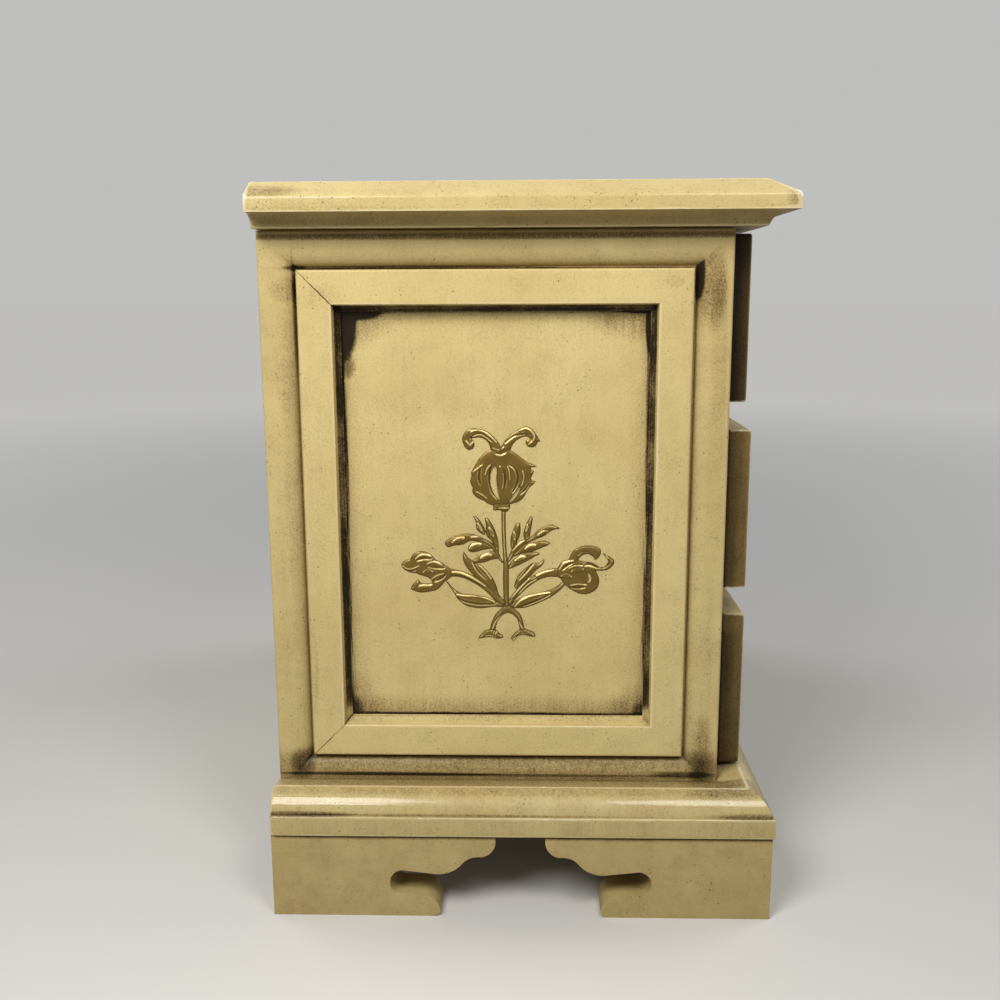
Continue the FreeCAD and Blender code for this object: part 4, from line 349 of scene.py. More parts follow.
def painted_wood(name, opening=None, outline=None, mitred=False, gloss=0.06, specks=0.5, brushed=0.3,
                 stroke=1.6, sheltered=1.0, spots=(), spots_from=0, patches=()):
    """Antique cream paint: mottled, brushed, dark glaze in the recesses, painted shade where the marks carry
    it, specks, and edges rubbed pale.
    """
    f = Paint(name, stroke, mitred)
    wear, darkening = f.wear, f.glaze * sheltered
    if opening:
        darkening = darkening + glaze_in_opening(f, opening)
    if outline:
        darkening = darkening + glaze_around(f, outline)
    if spots:
        on_side = (f.out - spots_from).step(0, 1.5)
        for spot in spots:
            darkening = darkening + spot_of_glaze(f, spot) * on_side
    if opening:
        darkening = darkening * (0 - outside(f, opening)).step(-1.0, -0.6)
    for spot in patches:
        darkening = darkening + spot_of_glaze(f, spot) * below_mitre(f)
    if mitred:
        seams, cove = mitre_seams(f), (0 - outside(f, FRAME_FACE_INNER)).step(0.0, 0.4)
        wear = wear * (1 - cove)
        dark_cove = (f.up - COVE_DARK_FROM).step(0, 3) * (f.streak * 0.8 + 0.22)
        darkening = darkening + seams * 0.7 + cove * (0.2 + dark_cove)
    paint = speckled(f, glazed_and_shaded(f, cream_paint(f, brushed), darkening), specks)
    rubbed = (wear + (f.patch - 0.5) * 0.7 + (f.grit - 0.5) * 0.35).step(0.62, 0.95)
    paint = f.mix(rubbed * 0.6, paint, CREAM_WORN)
    chips = (wear * f.noise(4.5, 3, 0.6) * 1.5 + (f.grit - 0.5) * 0.2).step(0.86, 0.95)
    paint = f.mix(chips, paint, GESSO)
    relief = (f.brush - 0.5) * (brushed + 0.2) + (f.patch - 0.5) * 0.5 + (f.grit - 0.5) * 0.12 - chips * 0.7
    if mitred:
        relief = relief - seams * 0.8
    rough = 0.46 - gloss * 0.4 + (f.patch - 0.5) * 0.22 + chips * 0.3
    return f.done(Base_Color=paint, Roughness=rough, Normal=f.bump(relief, 0.12), Coat_Weight=gloss,
                  Coat_Roughness=0.12, Specular_IOR_Level=0.14)


def bare_wood():
    """Stained and sealed board with a fine straight grain."""
    f = Finish("bare_wood")
    grain = f.noise(1, 6, 0.62, f.stretched(60, 2.2, 2.6), 0.4)
    pores = f.noise(1, 2, 0.5, f.stretched(9, 0.35, 0.35))
    cloud = f.noise(40, 2)
    wood = f.mix(grain.step(0.3, 0.72), (0.33, 0.19, 0.085), (0.55, 0.37, 0.2))
    wood = f.mix((cloud - 0.4) * 0.5, wood, (0.3, 0.16, 0.07))
    wood = f.mix(pores.step(0.56, 0.72) * 0.55, wood, (0.12, 0.06, 0.03))
    return f.done(Base_Color=wood, Roughness=0.5 + (grain - 0.5) * 0.2,
                  Normal=f.bump(pores - grain * 0.4, -0.05))


def velvet(name, deep, bright):
    """Short pile velvet, rubbed one way and the other."""
    f = Finish(name)
    pile, stroke = f.noise(0.35, 2, 0.6), f.noise(16, 3, 0.55)
    cloth = f.mix((stroke - 0.35) * 1.4, deep, bright)
    cloth = f.mix((pile - 0.45) * 0.9, cloth, bright)
    return f.done(Base_Color=cloth, Roughness=0.92 + (pile - 0.5) * 0.1, Normal=f.bump(pile, 0.25),
                  Sheen_Weight=0.55, Sheen_Roughness=0.35, Sheen_Tint=(*bright, 1.0))


def metal(name, bright, dull, shine, tarnish=0.5, scratch=0.02):
    """Metal with a dull bloom in patches and fine scratches."""
    f = Finish(name)
    bloom, lines = f.noise(6, 4, 0.6), f.noise(1, 3, 0.6, f.stretched(0.12, 3, 3))
    colour = f.mix(((bloom - 0.42) * 2.4).least(1) * tarnish, bright, dull)
    return f.done(Base_Color=colour, Metallic=1.0,
                  Roughness=shine + (bloom - 0.5) * 0.3 + (lines - 0.5) * 0.12,
                  Normal=f.bump(lines, scratch))


def silvered_glass():
    """Mirror glass with a faint bloom."""
    f = Finish("silvered_glass")
    bloom, dust = f.noise(30, 3), f.noise(1.2, 3)
    colour = f.mix(bloom.step(0.45, 0.8), (0.86, 0.88, 0.88), (0.78, 0.8, 0.79))
    return f.done(Base_Color=colour, Metallic=1.0, Roughness=0.025 + dust.step(0.55, 0.8) * 0.06)


def gilt():
    """Antique gilt over relief: rubbed bright along the crests, dark brown in hollows and round outlines,
    with a painted highlight on slopes that face up and painted shade on slopes that face down.
    """
    f = Finish("antique_gilt")
    crest, edge = f.mark("crest"), f.mark("edge")
    patch, grit = f.noise(3, 4, 0.6), f.noise(0.6, 3, 0.6)
    gold = f.mix((patch - 0.5) * 1.4 + 0.4, (0.175, 0.108, 0.020), (0.26, 0.165, 0.036))
    # The dark brown also paints shade on the slopes that face down, and the pale gold paints a highlight on
    # those that face up.
    gold = f.mix((edge + (patch - 0.5) * 0.3).step(0.3, 0.85) * 0.7, gold, (0.075, 0.042, 0.010))
    gold = f.mix((crest + (grit - 0.5) * 0.2).step(0.22, 0.75) * 0.95, gold, (0.76, 0.60, 0.25))
    return f.done(Base_Color=gold, Metallic=0.4, Roughness=0.34 + (grit - 0.5) * 0.2,
                  Normal=f.bump(grit, 0.04), Specular_IOR_Level=0.3)


PAINT = painted_wood("painted_wood")
PANEL_PAINT = painted_wood("painted_panel", opening=PANEL_OPENING, sheltered=0.0, spots=PANEL_SPOTS)
RIM_PAINT = painted_wood("painted_rim", outline=FRAME_OUTLINE, sheltered=0.4, spots=RIM_SPOTS,
                         patches=RIM_PATCHES)
FRAME_PAINT = painted_wood("painted_frame", mitred=True, sheltered=0.4, spots=FRAME_SPOTS)
LID_PAINT = painted_wood("painted_lid", gloss=0.25, specks=1.9, spots=LID_SPOTS, spots_from=113)
BASE_PAINT = painted_wood("painted_base", gloss=0.6, specks=0.8, brushed=0.7, stroke=0.8, spots=BASE_SPOTS,
                          spots_from=110)
WOOD = bare_wood()
VELVET = velvet("wine_velvet", (0.10, 0.008, 0.014), (0.33, 0.05, 0.06))
BRASS = metal("aged_brass", (0.72, 0.50, 0.20), (0.34, 0.22, 0.09), 0.3, 0.7)
GILT_IRON = metal("gold_lacquered_iron", (0.62, 0.47, 0.2), (0.42, 0.3, 0.12), 0.38, 0.4)
STEEL = metal("ground_steel", (0.56, 0.56, 0.58), (0.3, 0.29, 0.28), 0.28, 0.4)
GLASS = silvered_glass()
GILT = gilt()


# Pieces cut from the part's own solids, with the edges rounded and the faces fine enough to carry marks.

# Outward edges that turn by more than this are rounded and wear.
CREASE = math.radians(24)

# Points closer than this are one, and faces that turn by less than this are one face.
SAME_PLACE = 1e-6
SAME_FACE = math.radians(0.6)


def is_mitre(face):
    """Whether a face is a cut at 45 degrees between two runs of moulding."""
    steep = sorted(abs(x) for x in face.normal)
    return steep[0] < 0.02 and abs(steep[1] - steep[2]) < 0.02


def clean_solid(node):
    """A node's solid as flat faces without the cuts that its triangles made."""
    bm = bmesh.new()
    bm.from_mesh(nodes[node].data)
    bmesh.ops.remove_doubles(bm, verts=bm.verts, dist=SAME_PLACE)
    bmesh.ops.dissolve_limit(bm, angle_limit=SAME_FACE, verts=bm.verts, edges=bm.edges, delimit=set())
    bm.normal_update()
    return bm


def corners_of(bm):
    """The outward edges, which wear, without those of mitre cuts."""
    outward = [e for e in bm.edges if len(e.link_faces) == 2 and e.calc_face_angle_signed(0) > CREASE]
    return [e for e in outward if not any(is_mitre(f) for f in e.link_faces)]


def along_edges(edges, pitch=0.5 * MM):
    """Points along the edges, close together."""
    found = []
    for e in edges:
        a, b = (v.co for v in e.verts)
        steps = max(1, int((b - a).length / pitch))
        found += [a.lerp(b, i / steps) for i in range(steps + 1)]
    return found


def cut_into_grid(bm, pitch):
    """Cuts the faces along planes in the three directions, pitch apart."""
    for axis in range(3):
        places = [v.co[axis] for v in bm.verts]
        low, high = min(places), max(places)
        count = int((high - low) / pitch)
        normal = Vector((axis == 0, axis == 1, axis == 2))
        for i in range(1, count + 1):
            there = normal * (low + (high - low) * (i - 0.37) / (count + 0.26))
            bmesh.ops.bisect_plane(bm, geom=bm.verts[:] + bm.edges[:] + bm.faces[:], dist=1e-7,
                                   plane_co=there, plane_no=normal)


def sharp_from(bm, degrees):
    """Shades the edges smooth, apart from those that turn by this angle or more."""
    for e in bm.edges:
        e.smooth = len(e.link_faces) == 2 and e.calc_face_angle(0) < math.radians(degrees)


def piece(name, bm, finish, node):
    """A finished mesh that stands for a node and rides on its body."""
    mesh = bpy.data.meshes.new(name)
    bm.to_mesh(mesh)
    bm.free()
    mesh.shade_smooth()
    made = bpy.data.objects.new(name, mesh)
    bpy.context.scene.collection.objects.link(made)
    mesh.materials.append(finish)
    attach(made, nodes[node]["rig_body"])
    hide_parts(node)
    return made


def shared_tree(names):
    """One search tree over the solids of these nodes."""
    points, faces = [], []
    for name in names:
        mesh = nodes[name].data
        start = len(points)
        points += [v.co[:] for v in mesh.vertices]
        faces += [[start + i for i in p.vertices] for p in mesh.polygons]
    return BVHTree.FromPolygons(points, faces)


PAINTED = [n for n in nodes if n != "fixed_front_knobs" and n.startswith((
    "side_", "lid_board", "lid_moulding", "lid_back", "base_", "foot_", "fixed_front", "front_wall",
    "back_board"))] + ["lower_drawer_front", "upper_drawer_front"]
NEIGHBOURS = shared_tree(PAINTED)

# How far off a neighbour still shelters a place: close by, and further out.
REACH = 3.5 * MM
WIDE_REACH = 12 * MM


def spread_of_rays(count):
    """Directions over half a ball about +Z, evenly spread, the flattest ones first."""
    golden = math.pi * (3 - math.sqrt(5))  # the turn that spreads points evenly
    rays = []
    for i in range(count):
        up = math.sqrt((i + 0.5) / count)
        out = math.sqrt(1 - up * up)
        rays.append(Vector((out * math.cos(i * golden), out * math.sin(i * golden), up)))
    return rays


RAYS = spread_of_rays(26)

# A place is open if none of this many first rays meets anything.
FIRST_RAYS = 7

# Rays start this far off the surface, in millimetres: a fixed part, and a share of the edge's rounding.
RAY_LIFT = 0.04
RAY_LIFT_ROUNDED = 0.45

# Distance from an edge over which wear fades, and what shelter and shade add to the marks: close shelter adds
# glaze, wider shelter adds painted shade and grime to the tone, and the shade given adds dark glaze and
# painted shade.
WEAR_REACH = 0.8 * MM
GLAZE_CLOSE, SHADE_AND_GRIME_WIDE, TONE_SHADE = 1.1, 0.35, 1.2

# Heights between which the faces of the lid and of the case that meet stay clean.
LID_JOINT = (180.5, 183.0)


def shelter(point, normal, lift):
    """How far the neighbours close a place in, from 0 in the open to about 1: close by, which is laid on as
    glaze, and further out, which is laid on as painted shade and grime.
    """
    turn = normal.to_track_quat("Z", "Y")
    start = point + normal * lift * MM
    close = wide = 0.0
    for i, ray in enumerate(RAYS):
        if i == FIRST_RAYS and wide == 0:
            return 0.0, 0.0
        hit = NEIGHBOURS.ray_cast(start, turn @ ray, WIDE_REACH)
        if hit[0] is not None:
            close += max(0.0, 1 - hit[3] / REACH)
            wide += 1 - hit[3] / WIDE_REACH
    return close / len(RAYS), wide / len(RAYS)


def near(place, centre, spread):
    """A soft spot: 1 at its centre, fading over its spread in each direction."""
    return math.exp(-sum(((p - c) / s) ** 2 for p, c, s in zip(place, centre, spread)))


def worked(node, pitch, rounding, segments=2):
    """A node's solid with its outward edges rounded and its faces cut up, and points along those edges."""
    bm = clean_solid(node)
    edges = corners_of(bm)
    worn = along_edges(edges)
    bmesh.ops.bevel(bm, geom=edges, offset=rounding * MM, offset_type="OFFSET", segments=segments,
                    profile=0.5, affect="EDGES", clamp_overlap=True, loop_slide=False)
    cut_into_grid(bm, pitch * MM * (1.0))
    bmesh.ops.triangulate(bm, faces=[f for f in bm.faces if len(f.verts) > 4])
    bm.normal_update()
    sharp_from(bm, 40)
    return bm, worn


def painted(node, finish=None, pitch=2.0, rounding=0.35, tone=0.0, upright=0.0, worn_at=(), shade=None,
            rubbing=1.0):
    """A painted piece: edges eased by rounding, in millimetres, with marks for glaze, wear and tone; the
    glaze and tone marks carry painted shade too.
    """
    bm, worn = worked(node, pitch, rounding)
    tree = KDTree(len(worn))
    for i, point in enumerate(worn):
        tree.insert(point, i)
    tree.balance()
    marks = {name: bm.verts.layers.float.new(name) for name in ("glaze", "wear", "tone", "upright")}
    for v in bm.verts:
        place = v.co / MM
        edge = tree.find(v.co)[2] if worn else 1.0
        close, wide = shelter(v.co, v.normal, RAY_LIFT + RAY_LIFT_ROUNDED * rounding)
        dark = shade(v.normal, place) if shade else 0.0
        if abs(v.normal.z) > 0.7 and LID_JOINT[0] < place.z < LID_JOINT[1]:
            close = wide = dark = 0.0
        rubbed = sum(strength * near(place, centre, spread) for centre, spread, strength in worn_at)
        # The glaze and tone marks carry painted shade too: the wider shelter darkens the tone as painted
        # shade and grime, and the shade given darkens both.
        v[marks["glaze"]] = GLAZE_CLOSE * close + dark
        v[marks["wear"]] = rubbing * math.exp(-(edge / WEAR_REACH) ** 2) * max(0.0, 1 - 3 * close) + rubbed
        v[marks["tone"]] = tone + SHADE_AND_GRIME_WIDE * wide + TONE_SHADE * dark
        v[marks["upright"]] = max(upright, abs(v.normal.x)) if shade else upright
    made = piece(node + "_painted", bm, finish or PAINT, node)
    made.modifiers.new("even_shading", "WEIGHTED_NORMAL").keep_sharp = True
    return made


def mirrored(spots):
    return [((-x, y, z), spread, strength) for (x, y, z), spread, strength in spots]


# Worn places: centre and spread in millimetres, and strength.
RIM_WEAR = [((-105.5, 61.6, 165.0), (3, 0.8, 2.5), 0.7), ((-105.5, 61.6, 140.0), (3, 0.7, 6), 0.35)]
LID_WEAR = [
    ((-120.6, -73.3, 190.0), (3, 4, 3), 0.8), ((-120.6, 61.6, 190.0), (3, 2.0, 2), 0.6),
    ((120.6, -73.3, 190.0), (3, 3, 3), 0.6)]

# Dark glaze with painted shade on the sides of the fronts and less on their tops, glaze where they meet the
# case,
# and what the sides of the highest front, above one height, and of the lowest, below another, have besides:
# painted shade under the lid on the highest.
FRONT_SIDE, FRONT_TOP, FRONT_EDGE = 0.60, 0.3, 0.12
HIGHEST_FROM, HIGHEST_PAINTED_SHADE = 135, 0.2
LOWEST_TO, LOWEST_MORE = 75, 0.08
CASE_FRONT, EDGE_REACH = -60.5, 2.5


def dark_sides(normal, place):
    """The fronts are darkened on their sides and less on their tops, by dark glaze and painted shade; their
    faces stay cream.
    """
    more = HIGHEST_PAINTED_SHADE * (place[2] > HIGHEST_FROM) + LOWEST_MORE * (place[2] < LOWEST_TO)
    dark = abs(normal.x) ** 2 * (FRONT_SIDE + more) + abs(normal.z) ** 2 * FRONT_TOP
    return dark + FRONT_EDGE * near((place[1],), (CASE_FRONT,), (EDGE_REACH,))


for side, turned in (("left", list), ("right", mirrored)):
    painted("side_board_" + side, PANEL_PAINT, 3.0, 0.35, 0.05, 1.0)
    painted("side_rim_" + side, RIM_PAINT, 2.0, 0.4, 0.2, 0.5, turned(RIM_WEAR))
    painted("side_frame_" + side, FRAME_PAINT, 2.0, 0.45, 0.04, 0.5)
# The lid's board is toned a little darker, as painted shade on its top, and its moulding much darker, as
# painted shade in the cove that faces down.
painted("lid_board", LID_PAINT, 2.5, 0.5, 0.16, worn_at=LID_WEAR)
painted("lid_moulding", LID_PAINT, 2.5, 0.25, 0.46)
painted("lid_back_strip", pitch=3.0, tone=0.15)
# The base and the feet are toned darker than the sides: glaze, and painted shade where the light falls off
# towards the floor.
painted("base_moulding", BASE_PAINT, 2.0, 0.35, 0.30, 1.0)
for foot in ("front_left", "front_right", "rear_left", "rear_right"):
    painted("foot_" + foot, pitch=2.0, rounding=0.8, tone=0.44, rubbing=0.6)
for front in ("fixed_front", "lower_drawer_front", "upper_drawer_front"):
    painted(front, pitch=2.5, rounding=0.6, tone=0.06, shade=dark_sides)
painted("front_wall", pitch=4.0, tone=0.1)
painted("back_board", pitch=4.0, tone=0.1, upright=1.0)


# The gilt flower spray in relief on each panel. Outlines are in millimetres from its middle: across as seen
# from the left side, and up.

SPRAY_MIDDLE = (-0.8, 102.3)

SPRAY = {
    "horn_left": ((-0.4, 24.1), (-1.8, 26), (-3.4, 27.6), (-5, 28.4), (-6.6, 28.7), (-8.3, 29),
        (-9.6, 28.4), (-10.7, 26.8), (-10.7, 25.2), (-9.9, 23.5), (-8.8, 23), (-7.7, 23.5), (-7.4, 24.9),
        (-8.3, 26.2), (-6.6, 26.5), (-5, 26.2), (-3.9, 25.2), (-3.4, 24.1), (-3.1, 22.7), (-0.7, 22.4)),
    "horn_right": ((-0.7, 22.4), (-0.4, 24.1), (0.7, 25.7), (2, 27.3), (3.4, 28.2), (4.7, 28.7),
        (6.1, 29.5), (7.4, 29), (8.5, 27.9), (9.3, 26.5), (10.1, 25.2), (9.3, 25.4), (9.1, 24.6),
        (8.3, 23.8), (6.9, 23.8), (6.1, 24.6), (6.1, 25.7), (7.2, 26.2), (6.4, 26.8), (5, 26.5),
        (3.7, 25.7), (2.6, 24.6), (2, 22.7)),
    "bud": ((-3.4, 23.3), (-4.7, 22.4), (-6.1, 21.1), (-7.2, 19.2), (-8, 17.8), (-8.5, 17), (-8.3, 15.9),
        (-8.8, 14.8), (-8.5, 13.7), (-8, 12.9), (-8.3, 11.8), (-7.4, 10.5), (-6.1, 9.7), (-5, 9.4),
        (-3.7, 8.3), (-2, 8), (0.4, 8), (2.6, 8.6), (4.2, 9.1), (5.3, 9.9), (6.4, 11.8), (7.2, 13.2),
        (8, 13.7), (8.8, 14.6), (7.7, 14.8), (7.4, 15.6), (8, 16.5), (8.3, 17.5), (7.7, 17.5), (7.4, 18.4),
        (9.1, 18.6), (7.7, 19.4), (6.1, 20), (4.5, 21.4), (3.1, 22.4), (1.5, 23.3), (-0.7, 23)),
    "calyx": ((-2.6, 8.6), (-2.6, 6.7), (-1.8, 6.7), (-0.9, 6.9), (0.1, 6.1), (1.2, 6.4), (2, 7.5),
        (1.8, 8.8), (-0.7, 8.8)),
    "stem": ((-0.4, 6.7), (-0.4, 1.2), (-0.1, -4.2), (0.1, -6.9), (-0.1, -12.4), (0.1, -17.8), (0.4, -20),
        (1.5, -20), (1.5, -17.8), (1.5, -12.4), (1.5, -8.3), (0.9, -4.8), (0.7, 1.2), (0.7, 6.7)),
    "leaf_a": ((-8, 5), (-7.4, 5.3), (-6.4, 4.2), (-5.3, 2.6), (-4.7, 1), (-5, -0.1), (-6.1, 0.4),
        (-7.2, 1.5), (-7.2, 2.9), (-7.4, 3.9)),
    "leaf_b": ((-5, 4.2), (-4.5, 4.8), (-3.7, 4.2), (-2.6, 2.3), (-1.8, 0.4), (-1.2, -2), (-1.2, -4.8),
        (-2, -3.9), (-2.8, -2), (-3.7, -1), (-4.5, -0.4), (-4.7, 1.2), (-4.5, 2.9)),
    "frond_left": ((0.1, -7.8), (-0.9, -5.8), (-1.5, -3.9), (-2.8, -2.3), (-4.2, -1.5), (-5.8, -0.7),
        (-7.7, 0.1), (-9.9, 0.4), (-12, 0.1), (-13.9, -0.7), (-15.3, -1.5), (-15.8, -2.3), (-15.3, -3.4),
        (-14.2, -3.4), (-13.4, -2.9), (-11.5, -2.9), (-10.1, -2.3), (-8.8, -1.5), (-6.9, -1.8), (-5, -2.3),
        (-3.7, -3.1), (-2.6, -4.2), (-1.8, -5.8), (-0.7, -7.5)),
    "leaf_c": ((-9.6, -3.9), (-9.1, -2.6), (-7.7, -2), (-5.8, -1.8), (-3.9, -2.3), (-2.6, -3.7),
        (-4.2, -3.9), (-5.8, -4.2), (-7.4, -4.8), (-9.1, -4.8)),
    "leaf_d": ((-8.5, -7.5), (-7.7, -6.7), (-6.4, -5.8), (-5, -5), (-3.7, -4.5), (-2, -4.5), (-0.9, -5.6),
        (-1.2, -6.7), (-2.6, -6.7), (-3.9, -7.2), (-5.8, -7.8), (-7.4, -7.8)),
    "leaf_e": ((3.7, 3.1), (4.5, 3.4), (4.7, 2.3), (4.7, 0.7), (4.2, -1.2), (3.1, -2.9), (2.3, -4.2),
        (2, -2.9), (2, -1), (2.6, 1), (3.1, 2.3)),
    "leaf_f": ((7.2, 4.8), (7.7, 5.3), (8, 4.5), (7.7, 2.6), (7.4, 1), (7.2, -0.7), (6.4, -1.5), (5.5, -1),
        (5.5, 0.7), (6.1, 2.6), (6.6, 3.7)),
    "frond_right": ((0.9, -7.5), (1.8, -5.3), (2.6, -3.4), (3.9, -2), (5.3, -1.5), (6.6, -1.2), (8.3, 0.1),
        (9.6, 1.5), (11.5, 2.6), (13.1, 2.9), (14.5, 2.3), (15.3, 1.8), (13.9, 1.5), (12.6, 1), (11, -0.4),
        (9.3, -1), (7.4, -1.8), (5.8, -2.6), (4.5, -3.9), (3.1, -5.3), (1.8, -7.5)),
    "leaf_g": ((2.3, -6.1), (3.4, -4.5), (4.7, -3.1), (6.6, -2.3), (9.1, -1.8), (11, -1.5), (12.9, -2.3),
        (11.5, -3.1), (9.6, -3.9), (7.7, -4.8), (5.5, -4.8), (3.7, -5.8)),
    "leaf_h": ((1.2, -9.4), (2, -7.5), (3.1, -6.7), (4.5, -5.6), (6.1, -4.8), (7.7, -4.8), (9.3, -4.8),
        (10.1, -5.3), (8.8, -5.8), (7.4, -6.7), (5.5, -7.8), (3.7, -8.6), (2, -9.4)),
    "lance_left": ((-10.7, -4.5), (-10.1, -5.6), (-9.1, -6.7), (-7.4, -7.8), (-5.5, -8.8), (-3.9, -10.5),
        (-2.6, -12.4), (-1.8, -14.3), (-1.5, -16.2), (0.1, -18.6), (-1.5, -17.8), (-2.8, -16.2),
        (-4.2, -14.6), (-6.1, -12.9), (-7.7, -11.6), (-9.3, -9.9), (-10.4, -8.3), (-11, -6.7)),
    "lance_right": ((11, -6.7), (11.2, -7.5), (10.4, -8.6), (8.8, -9.9), (7.2, -11.6), (5.3, -13.2),
        (3.7, -15.1), (2.8, -14.6), (3.4, -12.6), (4.2, -11), (5.5, -9.7), (6.9, -8.6), (8.3, -7.5),
        (9.1, -8), (10.1, -7.5)),
    "branch_left": ((-14.5, -9.4), (-12, -9.9), (-9.9, -10.5), (-7.7, -11.6), (-5.5, -12.9), (-3.4, -14.6),
        (-1.5, -16.5), (0.9, -18.9), (-0.1, -20), (-2.3, -18.4), (-4.2, -16.2), (-6.1, -14.6),
        (-8.3, -13.2), (-10.4, -12.1), (-12.6, -11.6), (-14.5, -11.6)),
    "branch_right": ((15.6, -9.1), (12.9, -9.4), (11, -9.9), (9.1, -10.7), (7.2, -11.8), (5.3, -13.5),
        (3.7, -15.1), (2, -17.3), (0.9, -18.9), (2, -19.7), (3.4, -17.8), (4.7, -16.5), (6.6, -14.6),
        (8.5, -13.2), (10.4, -12.1), (12.3, -11.6), (14.2, -11.6), (15.8, -11.8)),
    "blade_left": ((-15.8, -12.6), (-15, -13.2), (-13.9, -14.6), (-12.9, -15.6), (-11.2, -16.5),
        (-8.8, -16.7), (-6.4, -17), (-4.2, -17.5), (-2.3, -18.4), (0.4, -19.2), (-0.1, -20.3), (-2.8, -20),
        (-5, -20.5), (-7.4, -20.5), (-9.9, -20), (-11.5, -18.9), (-12.6, -17.8), (-13.4, -16.2),
        (-14.5, -14.6)),
    "blade_right": ((16.9, -13.5), (16.1, -14.8), (14.5, -16.2), (12.6, -17.5), (10.4, -18.6), (8, -19.7),
        (5.3, -20.5), (2.8, -20.5), (1.5, -19.7), (3.1, -18.6), (4.7, -17.5), (6.9, -16.7), (9.3, -16.2),
        (11.8, -15.6), (13.7, -14.8), (15, -14), (16.1, -12.9)),
    "arch": ((-3.7, -26.5), (-3.1, -24.1), (-2, -21.9), (-0.4, -20.5), (0.4, -19.7), (1.8, -19.7),
        (2.8, -20.5), (4.5, -21.9), (5.3, -23.8), (5.8, -26.5), (4.5, -26.8), (4.2, -24.9), (3.7, -23.3),
        (2.6, -22.2), (1.2, -21.6), (-0.4, -22.4), (-1.5, -23.8), (-2, -25.4), (-2.3, -26.8)),
    "foot_left": ((-3.9, -26.5), (-5, -26.8), (-6.1, -27.9), (-6.9, -29), (-6.4, -29.2), (-5, -28.7),
        (-3.1, -28.7), (-1.5, -29.2), (-0.1, -29), (-0.1, -28.2), (-1.2, -27.6), (-2, -26.5)),
    "foot_right": ((4.5, -26.5), (3.4, -27.3), (2.3, -28.4), (2, -29.2), (2.6, -29.8), (3.4, -29.2),
        (3.7, -28.4), (5, -27.9), (6.6, -28.2), (8, -28.7), (8.8, -28.4), (8.5, -27.3), (6.9, -26.8),
        (5.8, -26.2)),
    "flower_left": ((-27.7, -8.3), (-27.2, -7.5), (-26.1, -6.9), (-25, -6.7), (-24.8, -5.8), (-23.7, -4.8),
        (-22.3, -4.5), (-20.7, -4.8), (-19.3, -5.6), (-18.5, -6.9), (-16.9, -7.5), (-15.6, -8.6),
        (-13.9, -9.7), (-13.9, -11.6), (-15, -12.4), (-16.1, -13.2), (-16.9, -14.3), (-18, -15.4),
        (-20.2, -15.9), (-22.6, -16.2), (-24.5, -15.6), (-25.3, -15.1), (-24.8, -14), (-23.7, -12.9),
        (-23.1, -12.4), (-22.6, -13.5), (-21.2, -13.7), (-19.6, -13.7), (-19.3, -12.9), (-20.4, -11.8),
        (-22.3, -11.3), (-23.7, -10.7), (-25.3, -10.5), (-26.7, -9.9), (-27.5, -9.1)),
    "flower_right": ((14.5, -9.9), (15, -8.6), (16.1, -7.2), (17.7, -6.9), (18.3, -5.3), (19.3, -3.9),
        (21, -3.1), (22.9, -2.9), (24.8, -3.1), (26.4, -3.9), (26.4, -5.3), (25.6, -6.4), (24.8, -6.9),
        (24.2, -5.8), (22.6, -5), (21.2, -5.6), (20.2, -6.9), (21.8, -7.5), (23.4, -7.5), (24.8, -8),
        (25.8, -8.8), (26.9, -9.1), (28, -8.3), (28.5, -7.2), (28, -6.4), (27.2, -5.6), (26.9, -5),
        (28, -5.6), (29.4, -6.4), (30.2, -7.2), (29.6, -8.6), (28.3, -9.7), (26.7, -9.9), (25, -9.9),
        (25.6, -11), (26.1, -12.6), (25.8, -14.3), (24.8, -15.6), (22.9, -16.5), (21, -16.5), (19.1, -15.6),
        (17.5, -14.6), (16.4, -13.5), (15.6, -12.1), (14.5, -11.6)),
}

SPRAY_GAPS = {
    "bud_gap_wide": ((-2.3, 18.9), (-3.1, 17.5), (-3.4, 15.9), (-3.4, 14), (-2.8, 12.1), (-2, 10.5),
        (-0.7, 9.4), (-1.2, 11), (-1.5, 12.9), (-1.8, 15.4), (-1.5, 17.5), (-1.8, 18.6)),
    "bud_gap_thin": ((4.7, 13.7), (3.9, 12.4), (2.8, 11), (1.8, 9.4), (1.5, 8.8), (2.3, 9.1), (3.4, 10.2),
        (4.2, 11.6), (4.7, 12.9)),
    "flower_gap": ((22.3, -13.2), (23.1, -12.6), (23.1, -11.6), (22.6, -10.5), (23.4, -10.5), (23.9, -11.6),
        (23.9, -12.6), (23.4, -13.5)),
}

# Fine modelling: half width in millimetres, then the line that it follows.

BEADS = (
    (1.3, (-0.7, 18.5), (-0.6, 15.7), (-0.2, 12.6)),
    (0.9, (-7, 3.1), (-6.5, 2.2), (-5.7, 1.2)),
    (0.9, (-3.7, 1.9), (-3.2, 0.9), (-2.6, -0.3)),
    (1.1, (-13.6, -2.1), (-12.1, -1.5), (-10.6, -0.9)),
    (1.2, (-9, -3.7), (-7.6, -3.1), (-6.1, -2.6)),
    (1.1, (-5.9, -6.4), (-4.7, -6), (-3.3, -5.6)),
    (1, (-21.6, -10.4), (-20.5, -10), (-19.2, -10.2)),
    (0.9, (-22.8, -14.4), (-21.2, -14.3), (-19.5, -14)),
    (0.9, (2.7, 1), (3, -0.1), (3.2, -1.3)),
    (0.8, (6.4, 2.8), (6.3, 2), (6.2, 1.1)),
    (1, (9.5, -0.1), (10.7, 0.5), (11.9, 1)),
    (1, (6.1, -3.9), (7.3, -3.3), (8.7, -2.8)),
    (1, (3.2, -7.1), (4.5, -6.5), (5.9, -6.1)),
    (1.1, (18.6, -10.1), (20, -9.5), (21.6, -9.5)),
    (1, (15.8, -11.4), (17, -11.1), (18.4, -11.6)),
    (1, (20.4, -5.7), (21.7, -5.1), (23.6, -5.5)),
)
